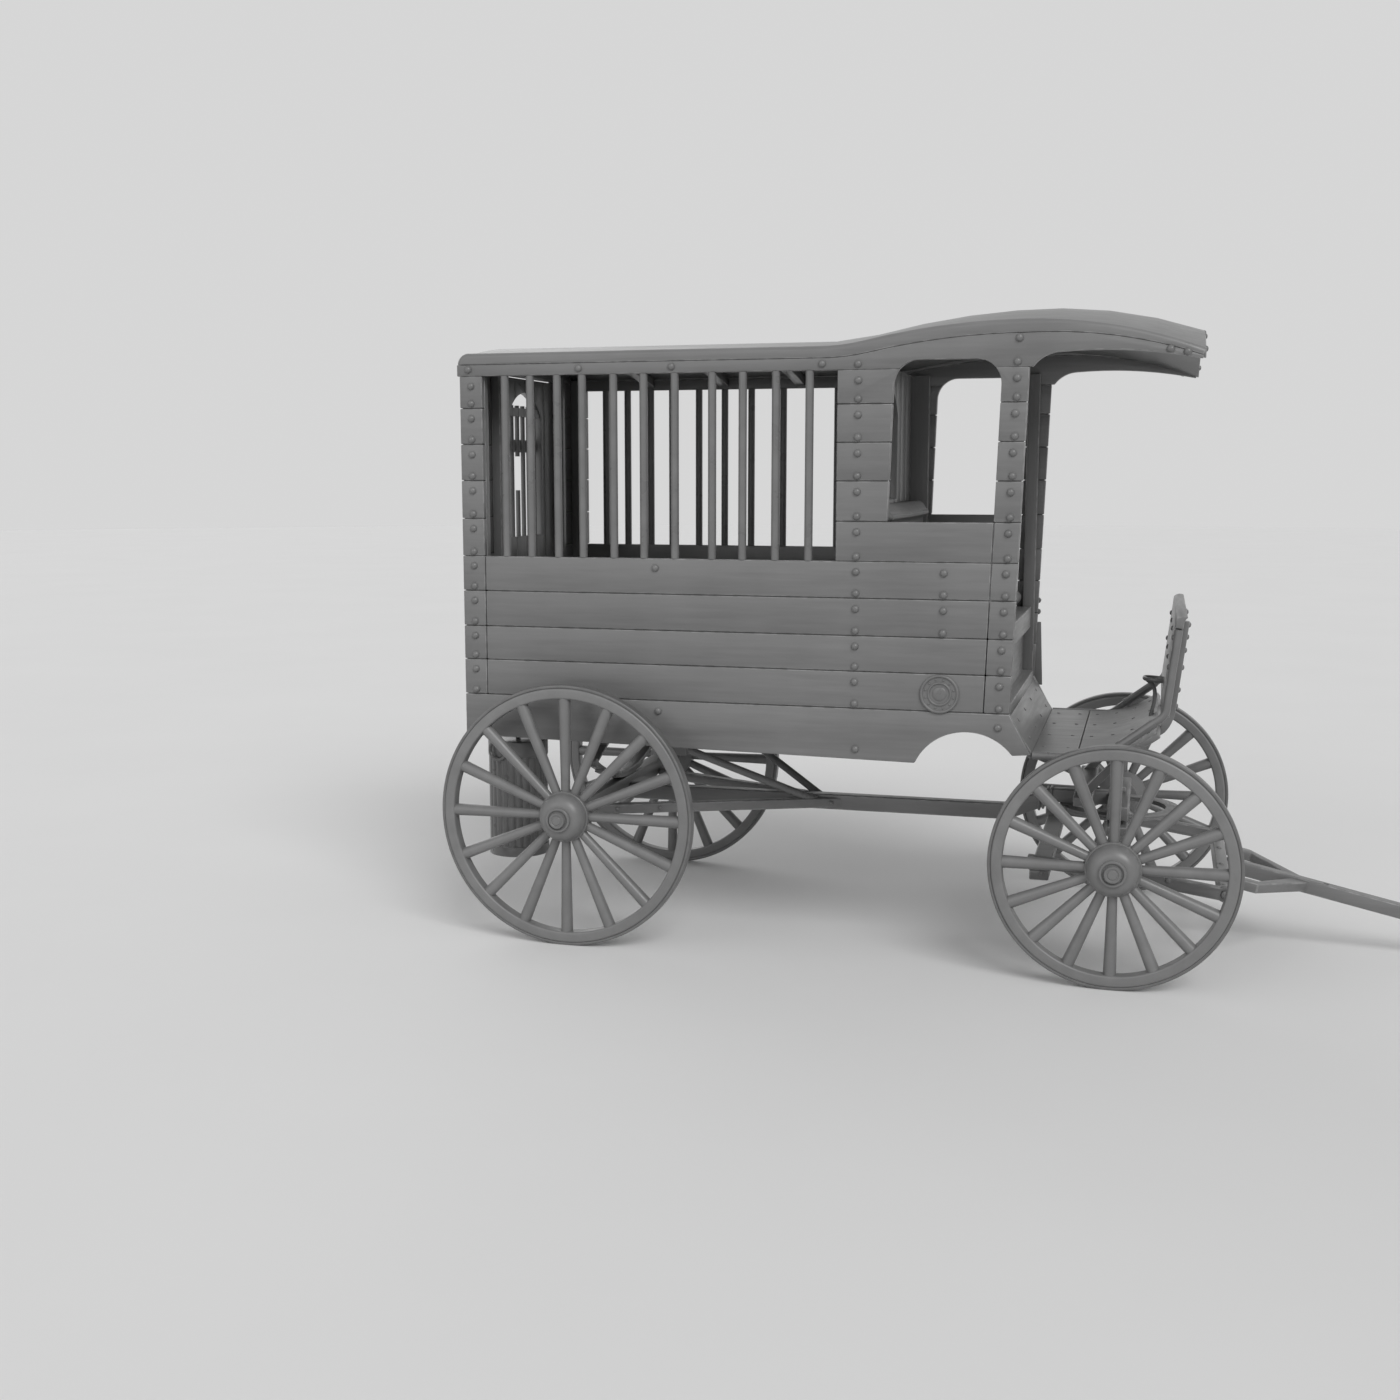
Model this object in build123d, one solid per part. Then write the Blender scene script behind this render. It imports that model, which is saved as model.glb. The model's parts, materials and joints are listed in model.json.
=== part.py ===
"""Horse-drawn jail wagon: running gear, steered carriage, hinged pole, barred body, rear door, driver's seat.

Millimetres. +X points forward to the pole, +Y to the wagon's left, +Z up, ground at Z = 0.
Pieces are drawn with X = 0 at the rear axle, and moved to the middle of the overall length when written.
"""
from build123d import *
import os
from math import asin, atan, atan2, cos, degrees, hypot, radians, sin, sqrt

os.makedirs("parts", exist_ok=True)

# Wheels and axles
wheelbase = 2335
rear_wheel_radius = 580
front_wheel_radius = 500
body_half_width = 690        # outer face of the side walls
wheel_plane_y = body_half_width + 122    # middle of the rim
tyre_width = 48
tyre_thickness = 14
tyre_fit = 0.15
felloe_width = 60
felloe_depth = 46
felloe_bevel = 6             # beside the tyre
spoke_count = 16
spoke_sides = 12
spoke_hub_radius = 19
spoke_rim_radius = 27
spoke_root = 8               # depth of a spoke's foot in the nave
spoke_tenon = 12             # depth of a spoke's end in the felloe
nave_radius = 112
nave_bed = 34                # half length of the band that holds the spokes
nave_inner_y = wheel_plane_y - 117
nave_inner_radius = 72
nave_inner_band = 35
nave_nose_y = wheel_plane_y + 93     # outer end of the nave's dome
nave_bulge = 14
nose_ring_radius = 54
nose_ring_depth = 16
nose_ring_width = 10
nose_hollow = 8              # depth of the groove round the boss
nose_slope = 5
nose_boss_radius = 30
nose_boss_depth = 14
arm_radius = 25              # axle arm that a wheel turns on
arm_fit = 0.1
arm_end_y = wheel_plane_y + 68
arm_end_gap = 8
axle_shoulder_y = wheel_plane_y - 122
axle_width = 70
axle_height = 80

# Reach, hounds, spring and stays under the body
reach_width = 70
reach_height = 70
reach_z = 545
reach_climb = 210            # length of the rise over the turntable
reach_clear = 15             # from the rise's end to the turntable's edge
reach_top_back = 25          # bends in the reach's top, behind those below
hound_axle_y = 445
hound_axle_width = 55
hound_tip_x = 1080
hound_tip_length = 105
hound_height = 45
spring_half_span = 480
spring_rise = 118
spring_width = 60
leaf_thickness = 11
leaf_spans = (1.0, 0.72, 0.44)   # share of the half span, main leaf first
spring_eye_radius = 20
spring_saddle_length = 130
bearer_width = 80
bearer_half_length = body_half_width - 70
bearer_height = 35
sill_y = body_half_width - 290
sill_width = 80
sill_height = 80
sill_rear_x = -450
sill_front_x = wheelbase - 895
stay_block_x = 405
stay_block_size = 66
stay_block_drop = 130
stay_radius = 18
stay_foot_x = 940
stay_foot_y = 76

# Turntable and front carriage
sand_board_height = 40
sand_board_width = 90
sand_board_half_length = 400
plate_outer_radius = 260
plate_inner_radius = 200
plate_thickness = 10
plate_gap = 0.5
bolster_width = 90
bolster_half_length = 360
bolster_height = 60
king_pin_radius = 15
king_pin_head = 27
king_pin_head_height = 18
king_pin_tail = 24
pin_fit = 0.1
transom_width = 80
transom_back = 185           # transom's rear face, behind the king pin
transom_half_length = 400
transom_height = 40
futchell_y = axle_shoulder_y - 120
futchell_width = 40
futchell_height = 60
futchell_rear_x = wheelbase - 355
futchell_tail_rise = 20      # top of the tail over the axle's underside
futchell_land = 40           # half length of the seat under the axle
futchell_step = 10
futchell_drop = 12
sway_seat_length = 100
sway_bar_depth = 80
sway_bar_height = 40
sway_bar_end = 20            # past the futchells

# Pole
hinge_x = wheelbase + 440
hinge_z = 366
hinge_pin_radius = 15
hinge_pin_end = 12           # past the futchells
hinge_eye_radius = 34
hinge_eye_neck = 27
splinter_size = 52
splinter_gap = 5
pole_length = 1520
pole_size = 60
pole_tip_size = 72
pole_tip_length = 100
pole_tip_solid = 50
pole_tip_bore_radius = 13
pole_socket_fit = 0.3
pole_arm_y = futchell_y - 270
pole_arm_width = 60
pole_arm_kink = 145          # where an arm turns in to the pole
pole_arm_meet = 300
pole_arm_taper = 75
pole_arm_height = 44
evener_hole_radius = 10
evener_hole_x = 450

# Body
wall_thickness = 30
body_rear_x = -520
front_edge_x = wheelbase - 413   # front edge of the wall at the cab's sill
rake = 0.0313                # forward lean of the wall's front, mm per mm of height
plank_gap = 3
skirt_rear_z = 900
skirt_front_z = 867
skirt_top_z = 1089
plank_joints = (1089, 1246, 1396, 1553, 1706, 1872, 2038, 2196, 2352, 2490)
arch_rear_x = wheelbase - 825
arch_front_x = wheelbase - 423
arch_front_z = 916
arch_top_z = 1006
toe_x = wheelbase - 348
toe_z = 922
corner_x = body_rear_x + 105     # front of the rear corner blocks and rear edge of the cell window
cell_window_front_x = wheelbase - 1170
cell_sill_z = 1706
cab_window_rear_x = wheelbase - 955      # window's edges at its sill
cab_window_front_x = wheelbase - 521
cab_sill_z = 1872
cab_window_top_z = 2525
cab_window_corner = 100
eaves_z = 2490
bar_radius = 17.5
bar_steps = (102, 118, 125, 115, 142, 136, 139, 165, 133, 143, 143)  # from the window's rear edge forward
floor_top_z = 1050
floor_thickness = 35
floor_front_x = wheelbase - 470
floor_board_count = 5
post_depth = 40
post_top_z = 2540
rear_post_width = 73
mid_post_rear_x = wheelbase - 1145
mid_post_front_x = wheelbase - 970
front_post_rear_x = wheelbase - 499
front_post_front_x = wheelbase - 443
jamb_width = 40
jamb_depth = 43
partition_x = wheelbase - 1088
partition_thickness = 30
partition_sill_z = 1952

# Roof
roof_rear_x = body_rear_x - 12
roof_flat_x = wheelbase - 1255   # where the roof starts to rise
fascia_top_z = 2590
crest_x = wheelbase - 415
crest_z = 2680
rise_turn = 0.232            # share of the rise that curves upward
visor_x = wheelbase + 277
visor_top_z = 2552
visor_low_z = 2510
visor_hollow = 19
brow_x = wheelbase - 381     # where the fascia's underside leaves the wall
hollow_x = wheelbase - 275
hollow_z = 2546
brow_bulge = 14
roll_depth = 50              # rounded roll along the top of the fascia
roll_turn_depth = 54
roll_crest_depth = 56
roll_visor_depth = 30
roll_proud = 4
roll_top_round = 22
deck_thickness = 30
deck_step = 12               # deck's edge below the fascia's top
deck_round = 20              # eased rear edge of the deck
deck_strips = 8
rear_crown = 72
visor_crown = 126
bow_count = 3
bow_width = 50
bow_depth = 45
medallion_x = wheelbase - 725
medallion_z = 1163
medallion_radius = 82
medallion_thickness = 12
medallion_rim = 12
medallion_slope = 5
medallion_boss_radius = 34

# Rear door
door_half_width = 375
door_gap = 7
door_thickness = 36
door_top_z = 2515
door_window_half_width = 210
door_window_sill_z = 1770
door_window_spring_z = 2330
door_window_rise = 120
door_bar_places = (-140, -70, 0, 70, 140)
door_bar_radius = 11
door_cross_bar_z = 2358
door_cross_bar_height = 40
door_cross_bar_depth = 10
sawn_bar = 1                 # the bar whose middle is missing
sawn_from_z = 1990
sawn_to_z = 2150
hinge_barrel_radius = 13
hinge_back_gap = 1
hinge_heights = (1300, 2200)
hinge_height = 120
hinge_knuckle = 60           # height of the door's own barrel, between the two on the wall
hinge_knuckle_gap = 1
hinge_pin_fit = 0.1
door_pin_radius = 6
leaf_length = 85
keeper_size = 40
keeper_fit = 2
strap_thickness = 7
strap_length = 560
bolt_z = 1560
bolt_radius = 12
bolt_sink = 2.4              # depth of the bolt in its plate
bolt_length = 170
bolt_plate_height = 80
bolt_plate_length = 105

# Driver's place
seat_board_top_z = 1430
seat_board_thickness = 37
seat_nose_x = wheelbase - 457
seat_apron = 100             # height of the seat's front edge
seat_front_x = wheelbase - 490   # outer face of the panel under the seat
seat_side_gap = 8
ledge_top_z = 1122
seat_front_thickness = 32
toe_reach = 32               # top of the toe board ahead of the floor's front edge
soft_gap = 0.3
cushion_rear_x = wheelbase - 935
cushion_front_x = wheelbase - 473
cushion_height = 96
cushion_side_gap = 12
back_thickness = 62
back_top_z = 1925
back_roll_radius = 52
toe_board_thickness = 25
toe_board_drop = 14          # toe board's top below the skirt's
footboard_x = wheelbase - 345
footboard_z = 930
footboard_thickness = 25
footboard_seam_x = wheelbase - 165
footboard_bend_x = wheelbase - 135
footboard_bend_radius = 450
footboard_sweep = 39
rail_radius = 16
rail_bend_radius = 60
rail_start = 5               # ahead of the body's toe
rail_level = 275
rail_knee = 12               # up the dash
rail_top_back = 60           # below the dash's top
dash_x = wheelbase + 161
dash_z = 1095
dash_lean = 6.4
dash_thickness = 33
dash_joints = (0, 132, 274, 361, 420)
dash_scroll = 40             # height of the curled top
dash_lip = 12
dash_lip_drop = 8
dash_curl = 9
dash_iron_y = 330
dash_iron_width = 45
dash_iron_thickness = 28
dash_iron_height = 372
dash_iron_tail = 10
dash_iron_heel = 4
dash_iron_bulge = 8
brace_foot_width = 50
brace_from = 1               # degrees past the middle of the footboard's bend
brace_to = 8

# Barrel and bracket
barrel_x = -348
barrel_y = 190 - body_half_width
barrel_radius = 127
barrel_bottom_z = 330
barrel_top_z = 859
barrel_band_radius = 137
barrel_top_band = 70
barrel_bottom_band = 45
flute_count = 24
flute_depth = 7
hanger_radius = 11
hanger_plate = 90
hanger_plate_thickness = 8
bracket_x = wheelbase - 430
bracket_low_z = 1040
bracket_high_z = 1350
bracket_low_width = 62
bracket_high_width = 34
bracket_thickness = 10
bracket_knob_radius = 14
bracket_knob_heights = (1400, 1455)
bracket_knob_length = 24

cut_past = 1                 # how far a cutter runs past the faces that it cuts

# Places that follow from the sizes above
wall_inner_y = body_half_width - wall_thickness
post_inner_y = wall_inner_y - post_depth
seat_half_width = post_inner_y - seat_side_gap
cushion_half_width = seat_half_width - cushion_side_gap
rail_y = wall_inner_y
floor_bottom_z = floor_top_z - floor_thickness
sill_bottom_z = floor_bottom_z - sill_height
rear_axle_top_z = rear_wheel_radius + axle_height / 2
front_axle_top_z = front_wheel_radius + axle_height / 2
front_axle_bottom_z = front_wheel_radius - axle_height / 2
sand_board_top_z = front_axle_top_z + sand_board_height
lower_plate_top_z = sand_board_top_z + plate_thickness
upper_plate_z = lower_plate_top_z + plate_gap
bolster_z = upper_plate_z + plate_thickness
bolster_top_z = bolster_z + bolster_height
bearer_bottom_z = sill_bottom_z - bearer_height
hound_top_z = reach_z + hound_height / 2
reach_rise_x = wheelbase - plate_outer_radius - reach_clear - reach_climb
rear_wall_inner_x = body_rear_x + wall_thickness + plank_gap
rise_run = hypot(crest_x - roof_flat_x, crest_z - fascia_top_z)
rise_bend = rise_run ** 2 / (2 * (crest_z - fascia_top_z))
sag_radius = rise_turn * rise_bend
rise_radius = (1 - rise_turn) * rise_bend
rise_turn_x = roof_flat_x + rise_turn * (crest_x - roof_flat_x)
fall_radius = ((visor_x - crest_x) ** 2 + (crest_z - visor_top_z) ** 2) / (2 * (crest_z - visor_top_z))
pole_half_tip = pole_tip_size / 2
pole_slope = degrees(
    asin(hinge_z / hypot(pole_length, pole_half_tip)) - atan2(pole_half_tip, pole_length)
)
pole_tip_x = hinge_x + pole_length * cos(radians(pole_slope)) + pole_half_tip * sin(radians(pole_slope))
origin_x = (pole_tip_x - rear_wheel_radius) / 2


def block(x0, x1, y0, y1, z0, z1):
    """Rectangular piece between two corners."""
    return Pos((x0 + x1) / 2, (y0 + y1) / 2, (z0 + z1) / 2) * Box(x1 - x0, y1 - y0, z1 - z0)


def from_side(outline, y0, y1):
    """Piece with an outline in X and Z, between two places across the wagon."""
    return extrude(Plane.XZ.offset(-y1) * make_face(outline), y1 - y0)


def from_above(outline, z0, z1):
    """Piece with an outline in X and Y, between two heights."""
    return extrude(Plane.XY.offset(z0) * make_face(outline), z1 - z0)


def from_behind(outline, x0, x1):
    """Piece with an outline in Y and Z, between two places along the wagon."""
    return extrude(Plane.YZ.offset(x0) * make_face(outline), x1 - x0)


def polygon(*points):
    return Polyline(*points, close=True)


def bowed(start, end, bulge):
    """Arc between two points, its middle off the chord, to the left of the way from start to end."""
    run_x, run_y = end[0] - start[0], end[1] - start[1]
    off = bulge / hypot(run_x, run_y)
    middle = ((start[0] + end[0]) / 2 - off * run_y, (start[1] + end[1]) / 2 + off * run_x)
    return ThreePointArc(start, middle, end)


def other_side(piece):
    """The same piece on the opposite side of the wagon."""
    return mirror(piece, about=Plane.XZ)


def both_sides(*left_pieces):
    return list(left_pieces) + [other_side(piece) for piece in left_pieces]


def rod(start, end, radius):
    """Round bar between two points."""
    axis = Vector(*end) - Vector(*start)
    return Solid.make_cylinder(radius, axis.length, Plane(origin=start, z_dir=axis))


def save(name, pieces):
    """Write one node: a single piece, or like pieces that don't touch."""
    solids = []
    for piece in pieces if isinstance(pieces, list) else [pieces]:
        solids += piece.solids()
    shape = solids[0] if len(solids) == 1 else Compound(solids)
    export_step(Pos(-origin_x, 0, 0) * shape, f"parts/{name}.step")


def make_wheel(radius):
    """Left wheel about its own axle: nave, spokes and felloe in one, and its iron tyre."""
    felloe_outer = radius - tyre_thickness - tyre_fit
    felloe_inner = felloe_outer - felloe_depth
    bore = arm_radius + arm_fit
    ring_y = nave_nose_y + nose_ring_depth
    groove_y = ring_y - nose_hollow
    ring_inner = nose_ring_radius - nose_ring_width
    bed_start = (nave_radius, wheel_plane_y - nave_bed)
    bed_end = (nave_radius, wheel_plane_y + nave_bed)
    dome_end = (nose_ring_radius, nave_nose_y)
    nave_outline = (
        Polyline(
            (bore, nave_inner_y), (nave_inner_radius, nave_inner_y),
            (nave_inner_radius, nave_inner_y + nave_inner_band), bed_start, bed_end,
        )
        + bowed(bed_end, dome_end, -nave_bulge)
        + Polyline(
            dome_end, (nose_ring_radius, ring_y), (ring_inner, ring_y), (ring_inner - nose_slope, groove_y),
            (nose_boss_radius + nose_slope, groove_y), (nose_boss_radius, ring_y + nose_boss_depth),
            (0, ring_y + nose_boss_depth), (0, arm_end_y + arm_end_gap), (bore, arm_end_y + arm_end_gap),
            (bore, nave_inner_y),
        )
    )
    nave = revolve(make_face(nave_outline), Axis.Y)
    spoke_start = nave_radius - spoke_root
    spoke_length = felloe_inner + spoke_tenon - spoke_start
    spoke_foot = Plane(origin=(spoke_start, wheel_plane_y, 0), z_dir=(1, 0, 0))
    spoke = extrude(
        spoke_foot * RegularPolygon(spoke_hub_radius, spoke_sides), spoke_length,
        taper=-degrees(atan((spoke_rim_radius - spoke_hub_radius) / spoke_length)),
    )
    pitch = 360 / spoke_count
    spokes = [Rot(0, (n + 0.5) * pitch, 0) * spoke for n in range(spoke_count)]
    low, high = wheel_plane_y - felloe_width / 2, wheel_plane_y + felloe_width / 2
    shoulder = felloe_outer - felloe_bevel
    felloe = revolve(
        make_face(
            polygon(
                (felloe_inner, low), (shoulder, low), (felloe_outer, low + felloe_bevel),
                (felloe_outer, high - felloe_bevel), (shoulder, high), (felloe_inner, high),
            )
        ),
        Axis.Y,
    )
    wood = Rot(0, pitch / 2, 0) * nave.fuse(*spokes, felloe)
    rim = Rot(90, 0, 0) * (
        Cylinder(radius, tyre_width) - Cylinder(radius - tyre_thickness, tyre_width)
    )
    return wood, Pos(0, wheel_plane_y, 0) * rim


def save_wheels():
    # columns: end of the wagon, axle X, wheel radius
    for end, axle_x, radius in (("rear", 0, rear_wheel_radius), ("front", wheelbase, front_wheel_radius)):
        wood, tyre = make_wheel(radius)
        for side in ("left", "right"):
            for piece, kind in ((wood, "wheel"), (tyre, "tyre")):
                placed = Pos(axle_x, 0, radius) * piece
                save(f"{end}_{side}_{kind}", placed if side == "left" else other_side(placed))


def make_axle(axle_x, wheel_radius):
    """Square beam with a round arm at each end."""
    beam = block(
        axle_x - axle_width / 2, axle_x + axle_width / 2, -axle_shoulder_y, axle_shoulder_y,
        wheel_radius - axle_height / 2, wheel_radius + axle_height / 2,
    )
    arms = rod((axle_x, -arm_end_y, wheel_radius), (axle_x, arm_end_y, wheel_radius), arm_radius)
    return beam + arms


def make_reach():
    """Square pole from the rear axle, climbing over the turntable plates to the bolster."""
    low = reach_z - reach_height / 2
    high = reach_z + reach_height / 2
    top_x = reach_rise_x + reach_climb
    end_x = wheelbase - bolster_width / 2
    return from_side(
        polygon(
            (axle_width / 2, low), (reach_rise_x, low), (top_x, bolster_z),
            (end_x, bolster_z), (end_x, bolster_top_z), (top_x - reach_top_back, bolster_top_z),
            (reach_rise_x - reach_top_back, high), (axle_width / 2, high),
        ),
        -reach_width / 2, reach_width / 2,
    )


def make_hounds():
    side = reach_width / 2
    hound = from_above(
        polygon(
            (axle_width / 2, hound_axle_y), (axle_width / 2, hound_axle_y + hound_axle_width),
            (hound_tip_x, side), (hound_tip_x - hound_tip_length, side),
        ),
        reach_z - hound_height / 2, hound_top_z,
    )
    return both_sides(hound)


def leaf(bottom_z, half_span, radius, thickness):
    """Outline of one leaf, bowed down, with the main leaf's inner radius as its centre's height."""
    centre_z = bottom_z + radius
    angle = asin(half_span / radius)
    outer = radius
    inner = radius - thickness

    def on(r, a):
        return (r * sin(a), centre_z - r * cos(a))

    return (
        ThreePointArc(on(outer, -angle), on(outer, 0), on(outer, angle))
        + Line(on(outer, angle), on(inner, angle))
        + ThreePointArc(on(inner, angle), on(inner, 0), on(inner, -angle))
        + Line(on(inner, -angle), on(outer, -angle))
    )


def make_spring():
    """Cross elliptic spring: two bowed packs of leaves, eyes at the ends and a saddle at each middle."""
    middle_z = (rear_axle_top_z + bearer_bottom_z) / 2
    main_radius = (spring_half_span ** 2 + spring_rise ** 2) / (2 * spring_rise)
    main_low_z = middle_z - spring_rise
    half = spring_width / 2
    pack = None
    for n, share in enumerate(leaf_spans):
        outer = main_radius + n * leaf_thickness
        outline = leaf(main_low_z - n * leaf_thickness, spring_half_span * share, outer, leaf_thickness)
        piece = from_behind(outline, -half, half)
        pack = piece if pack is None else pack + piece
    saddle_top = main_low_z - (len(leaf_spans) - 2) * leaf_thickness
    reach = spring_saddle_length / 2
    pack += block(-half, half, -reach, reach, rear_axle_top_z, saddle_top)
    upper = Pos(0, 0, middle_z) * mirror(Pos(0, 0, -middle_z) * pack, about=Plane.XY)
    eyes = [
        rod((-half, y, middle_z), (half, y, middle_z), spring_eye_radius)
        for y in (-spring_half_span, spring_half_span)
    ]
    return pack + upper + eyes


def make_stays():
    """Round stay from a block under each sill down to the hound's end."""
    half = stay_block_size / 2
    top = block(
        stay_block_x - half, stay_block_x + half, sill_y - half, sill_y + half,
        sill_bottom_z - stay_block_drop, sill_bottom_z,
    )
    head = (stay_block_x, sill_y, sill_bottom_z - stay_block_drop + half)
    foot = (stay_foot_x, stay_foot_y, hound_top_z)
    run = Vector(*foot) - Vector(*head)
    past = Vector(*foot) + run.normalized() * stay_block_size
    bar = rod(head, tuple(past), stay_radius)
    below = block(stay_block_x, wheelbase, -sill_y, sill_y, 0, hound_top_z)
    return both_sides(top + (bar - below))


def make_turntable_plate(z):
    centre = Pos(wheelbase, 0, z + plate_thickness / 2)
    disc = Cylinder(plate_outer_radius, plate_thickness)
    return centre * (disc - Cylinder(plate_inner_radius, plate_thickness))


def make_bolster():
    beam = block(
        wheelbase - bolster_width / 2, wheelbase + bolster_width / 2,
        -bolster_half_length, bolster_half_length,
        bolster_z, bolster_top_z,
    )
    hole = rod(
        (wheelbase, 0, bolster_z - cut_past), (wheelbase, 0, bolster_top_z + cut_past),
        king_pin_radius + pin_fit,
    )
    return beam - hole


def make_king_pin():
    low = front_axle_bottom_z - king_pin_tail
    pin = rod((wheelbase, 0, low), (wheelbase, 0, bolster_top_z + king_pin_head_height), king_pin_radius)
    head = rod(
        (wheelbase, 0, bolster_top_z), (wheelbase, 0, bolster_top_z + king_pin_head_height), king_pin_head
    )
    return pin + head


def make_front_axle():
    axle = make_axle(wheelbase, front_wheel_radius) + block(
        wheelbase - sand_board_width / 2, wheelbase + sand_board_width / 2,
        -sand_board_half_length, sand_board_half_length, front_axle_top_z, sand_board_top_z,
    )
    hole = rod(
        (wheelbase, 0, front_axle_bottom_z - cut_past), (wheelbase, 0, sand_board_top_z + cut_past),
        king_pin_radius + pin_fit,
    )
    return axle - hole


def make_futchells():
    """Two bars bolted under the front axle, tied behind by the sway bar, with an eye at each front end."""
    seat = front_axle_bottom_z
    tail_top = seat + futchell_tail_rise
    tail_low = tail_top - futchell_height
    inner = futchell_y - futchell_width / 2
    outer = futchell_y + futchell_width / 2
    front_x = hinge_x - hinge_eye_radius / 2
    shoulder = futchell_land + futchell_step
    bar = from_side(
        polygon(
            (futchell_rear_x, tail_low), (futchell_rear_x + sway_seat_length, tail_low),
            (wheelbase, seat - futchell_height), (front_x, hinge_z - hinge_eye_neck),
            (front_x, hinge_z + hinge_eye_neck), (wheelbase + shoulder, seat - futchell_drop),
            (wheelbase + futchell_land, seat), (wheelbase - futchell_land, seat),
            (wheelbase - shoulder, seat - futchell_drop), (futchell_rear_x, tail_top),
        ),
        inner, outer,
    )
    eye = rod((hinge_x, inner, hinge_z), (hinge_x, outer, hinge_z), hinge_eye_radius)
    hole = rod(
        (hinge_x, inner - cut_past, hinge_z), (hinge_x, outer + cut_past, hinge_z), hinge_pin_radius + pin_fit
    )
    bars = both_sides(bar + eye - hole)
    sway_x = futchell_rear_x + (sway_seat_length - sway_bar_depth) / 2
    end_y = outer + sway_bar_end
    sway = block(sway_x, sway_x + sway_bar_depth, -end_y, end_y, tail_low - sway_bar_height, tail_low)
    return bars[0] + sway + bars[1]


def on_pole(piece):
    """Place a piece drawn along +X from the hinge on the sloping pole."""
    return Location((hinge_x, 0, hinge_z), (0, pole_slope, 0)) * piece


def make_splinter_bar():
    half = futchell_y - futchell_width / 2 - splinter_gap
    bar = Box(splinter_size, 2 * half, splinter_size)
    end = futchell_y + futchell_width / 2 + hinge_pin_end
    pin = rod((0, -end, 0), (0, end, 0), hinge_pin_radius)
    return on_pole(bar + pin)


def make_pole():
    shaft = block(
        splinter_size / 2, pole_length - pole_tip_solid,
        -pole_size / 2, pole_size / 2, -pole_size / 2, pole_size / 2,
    )
    hole = rod((evener_hole_x, 0, -pole_size), (evener_hole_x, 0, pole_size), evener_hole_radius)
    return on_pole(shaft - hole)


def make_pole_arms():
    """Arms that run straight from the splinter bar, then turn in to the pole."""
    near = splinter_size / 2
    side = pole_size / 2
    inner, outer = pole_arm_y - pole_arm_width / 2, pole_arm_y + pole_arm_width / 2
    arm = from_above(
        polygon(
            (near, inner), (near, outer), (pole_arm_kink, outer), (pole_arm_meet + pole_arm_taper, side),
            (pole_arm_meet, side), (pole_arm_kink, inner),
        ),
        -pole_arm_height / 2, pole_arm_height / 2,
    )
    return [on_pole(piece) for piece in both_sides(arm)]


def make_pole_tip():
    socket = pole_size / 2 + pole_socket_fit
    iron = block(
        pole_length - pole_tip_length, pole_length,
        -pole_half_tip, pole_half_tip, -pole_half_tip, pole_half_tip,
    )
    iron -= block(
        pole_length - pole_tip_length - cut_past, pole_length - pole_tip_solid,
        -socket, socket, -socket, socket,
    )
    bore_x = pole_length - pole_tip_solid / 2
    bore = rod((bore_x, 0, -pole_tip_size), (bore_x, 0, pole_tip_size), pole_tip_bore_radius)
    return on_pole(iron - bore)


def leaning(x, z):
    """X at a height of a line that leans as the wall's front does, from its X at the cab's sill."""
    return x + (z - cab_sill_z) * rake


def front_edge(z):
    return leaning(front_edge_x, z)


def cab_window():
    """Cutter for the cab's side window: raked sides and rounded top corners."""
    r, top = cab_window_corner, cab_window_top_z
    shoulder = top - r
    rear, front = leaning(cab_window_rear_x, shoulder), leaning(cab_window_front_x, shoulder)
    bulge = r * (1 - sqrt(0.5))
    outline = (
        Polyline(
            (rear, shoulder), (cab_window_rear_x, cab_sill_z), (cab_window_front_x, cab_sill_z),
            (front, shoulder),
        )
        + bowed((front, shoulder), (front - r, top), -bulge)
        + Line((front - r, top), (rear + r, top))
        + bowed((rear + r, top), (rear, shoulder), -bulge)
    )
    return from_side(outline, wall_inner_y - cut_past, body_half_width + cut_past)


def wall_plank(low_z, high_z, rear, front):
    """Plank of the left wall; each end is its X below and its X above."""
    return from_side(
        polygon((rear[0], low_z), (front[0], low_z), (front[1], high_z), (rear[1], high_z)),
        wall_inner_y, body_half_width,
    )


def make_wall_planks():
    """Left wall: planks between rear corner blocks and a raked front strip, cut short beside the windows."""
    window = cab_window()
    planks = []
    for low, high in zip(plank_joints, plank_joints[1:]):
        low_z = low + plank_gap / 2
        high_z = high if high in (cell_sill_z, eaves_z) else high - plank_gap / 2
        rear_x = corner_x + plank_gap if high <= cell_sill_z else cell_window_front_x
        seam = [leaning(cab_window_front_x, z) for z in (low_z, high_z)]
        strip = [x + plank_gap for x in seam]
        if high > cab_sill_z:
            seam = [cab_window_rear_x + cab_window_corner * 2] * 2
            strip = [cab_window_front_x - cab_window_corner] * 2
        planks += [
            wall_plank(low_z, high_z, (body_rear_x, body_rear_x), (corner_x, corner_x)),
            wall_plank(low_z, high_z, (rear_x, rear_x), seam) - window,
            wall_plank(low_z, high_z, strip, (front_edge(low_z), front_edge(high_z))) - window,
        ]
    return planks


def make_skirt():
    """Left bottom plank, deeper towards the front, with the wheel arch and the slanted toe."""
    high = skirt_top_z - plank_gap / 2
    outline = (
        Polyline((arch_rear_x, skirt_front_z), (body_rear_x, skirt_rear_z), (body_rear_x, high),
                 (front_edge(high), high), (toe_x, toe_z), (arch_front_x, arch_front_z))
        + ThreePointArc((arch_front_x, arch_front_z), ((arch_rear_x + arch_front_x) / 2, arch_top_z),
                        (arch_rear_x, skirt_front_z))
    )
    return from_side(outline, wall_inner_y, body_half_width)


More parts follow.
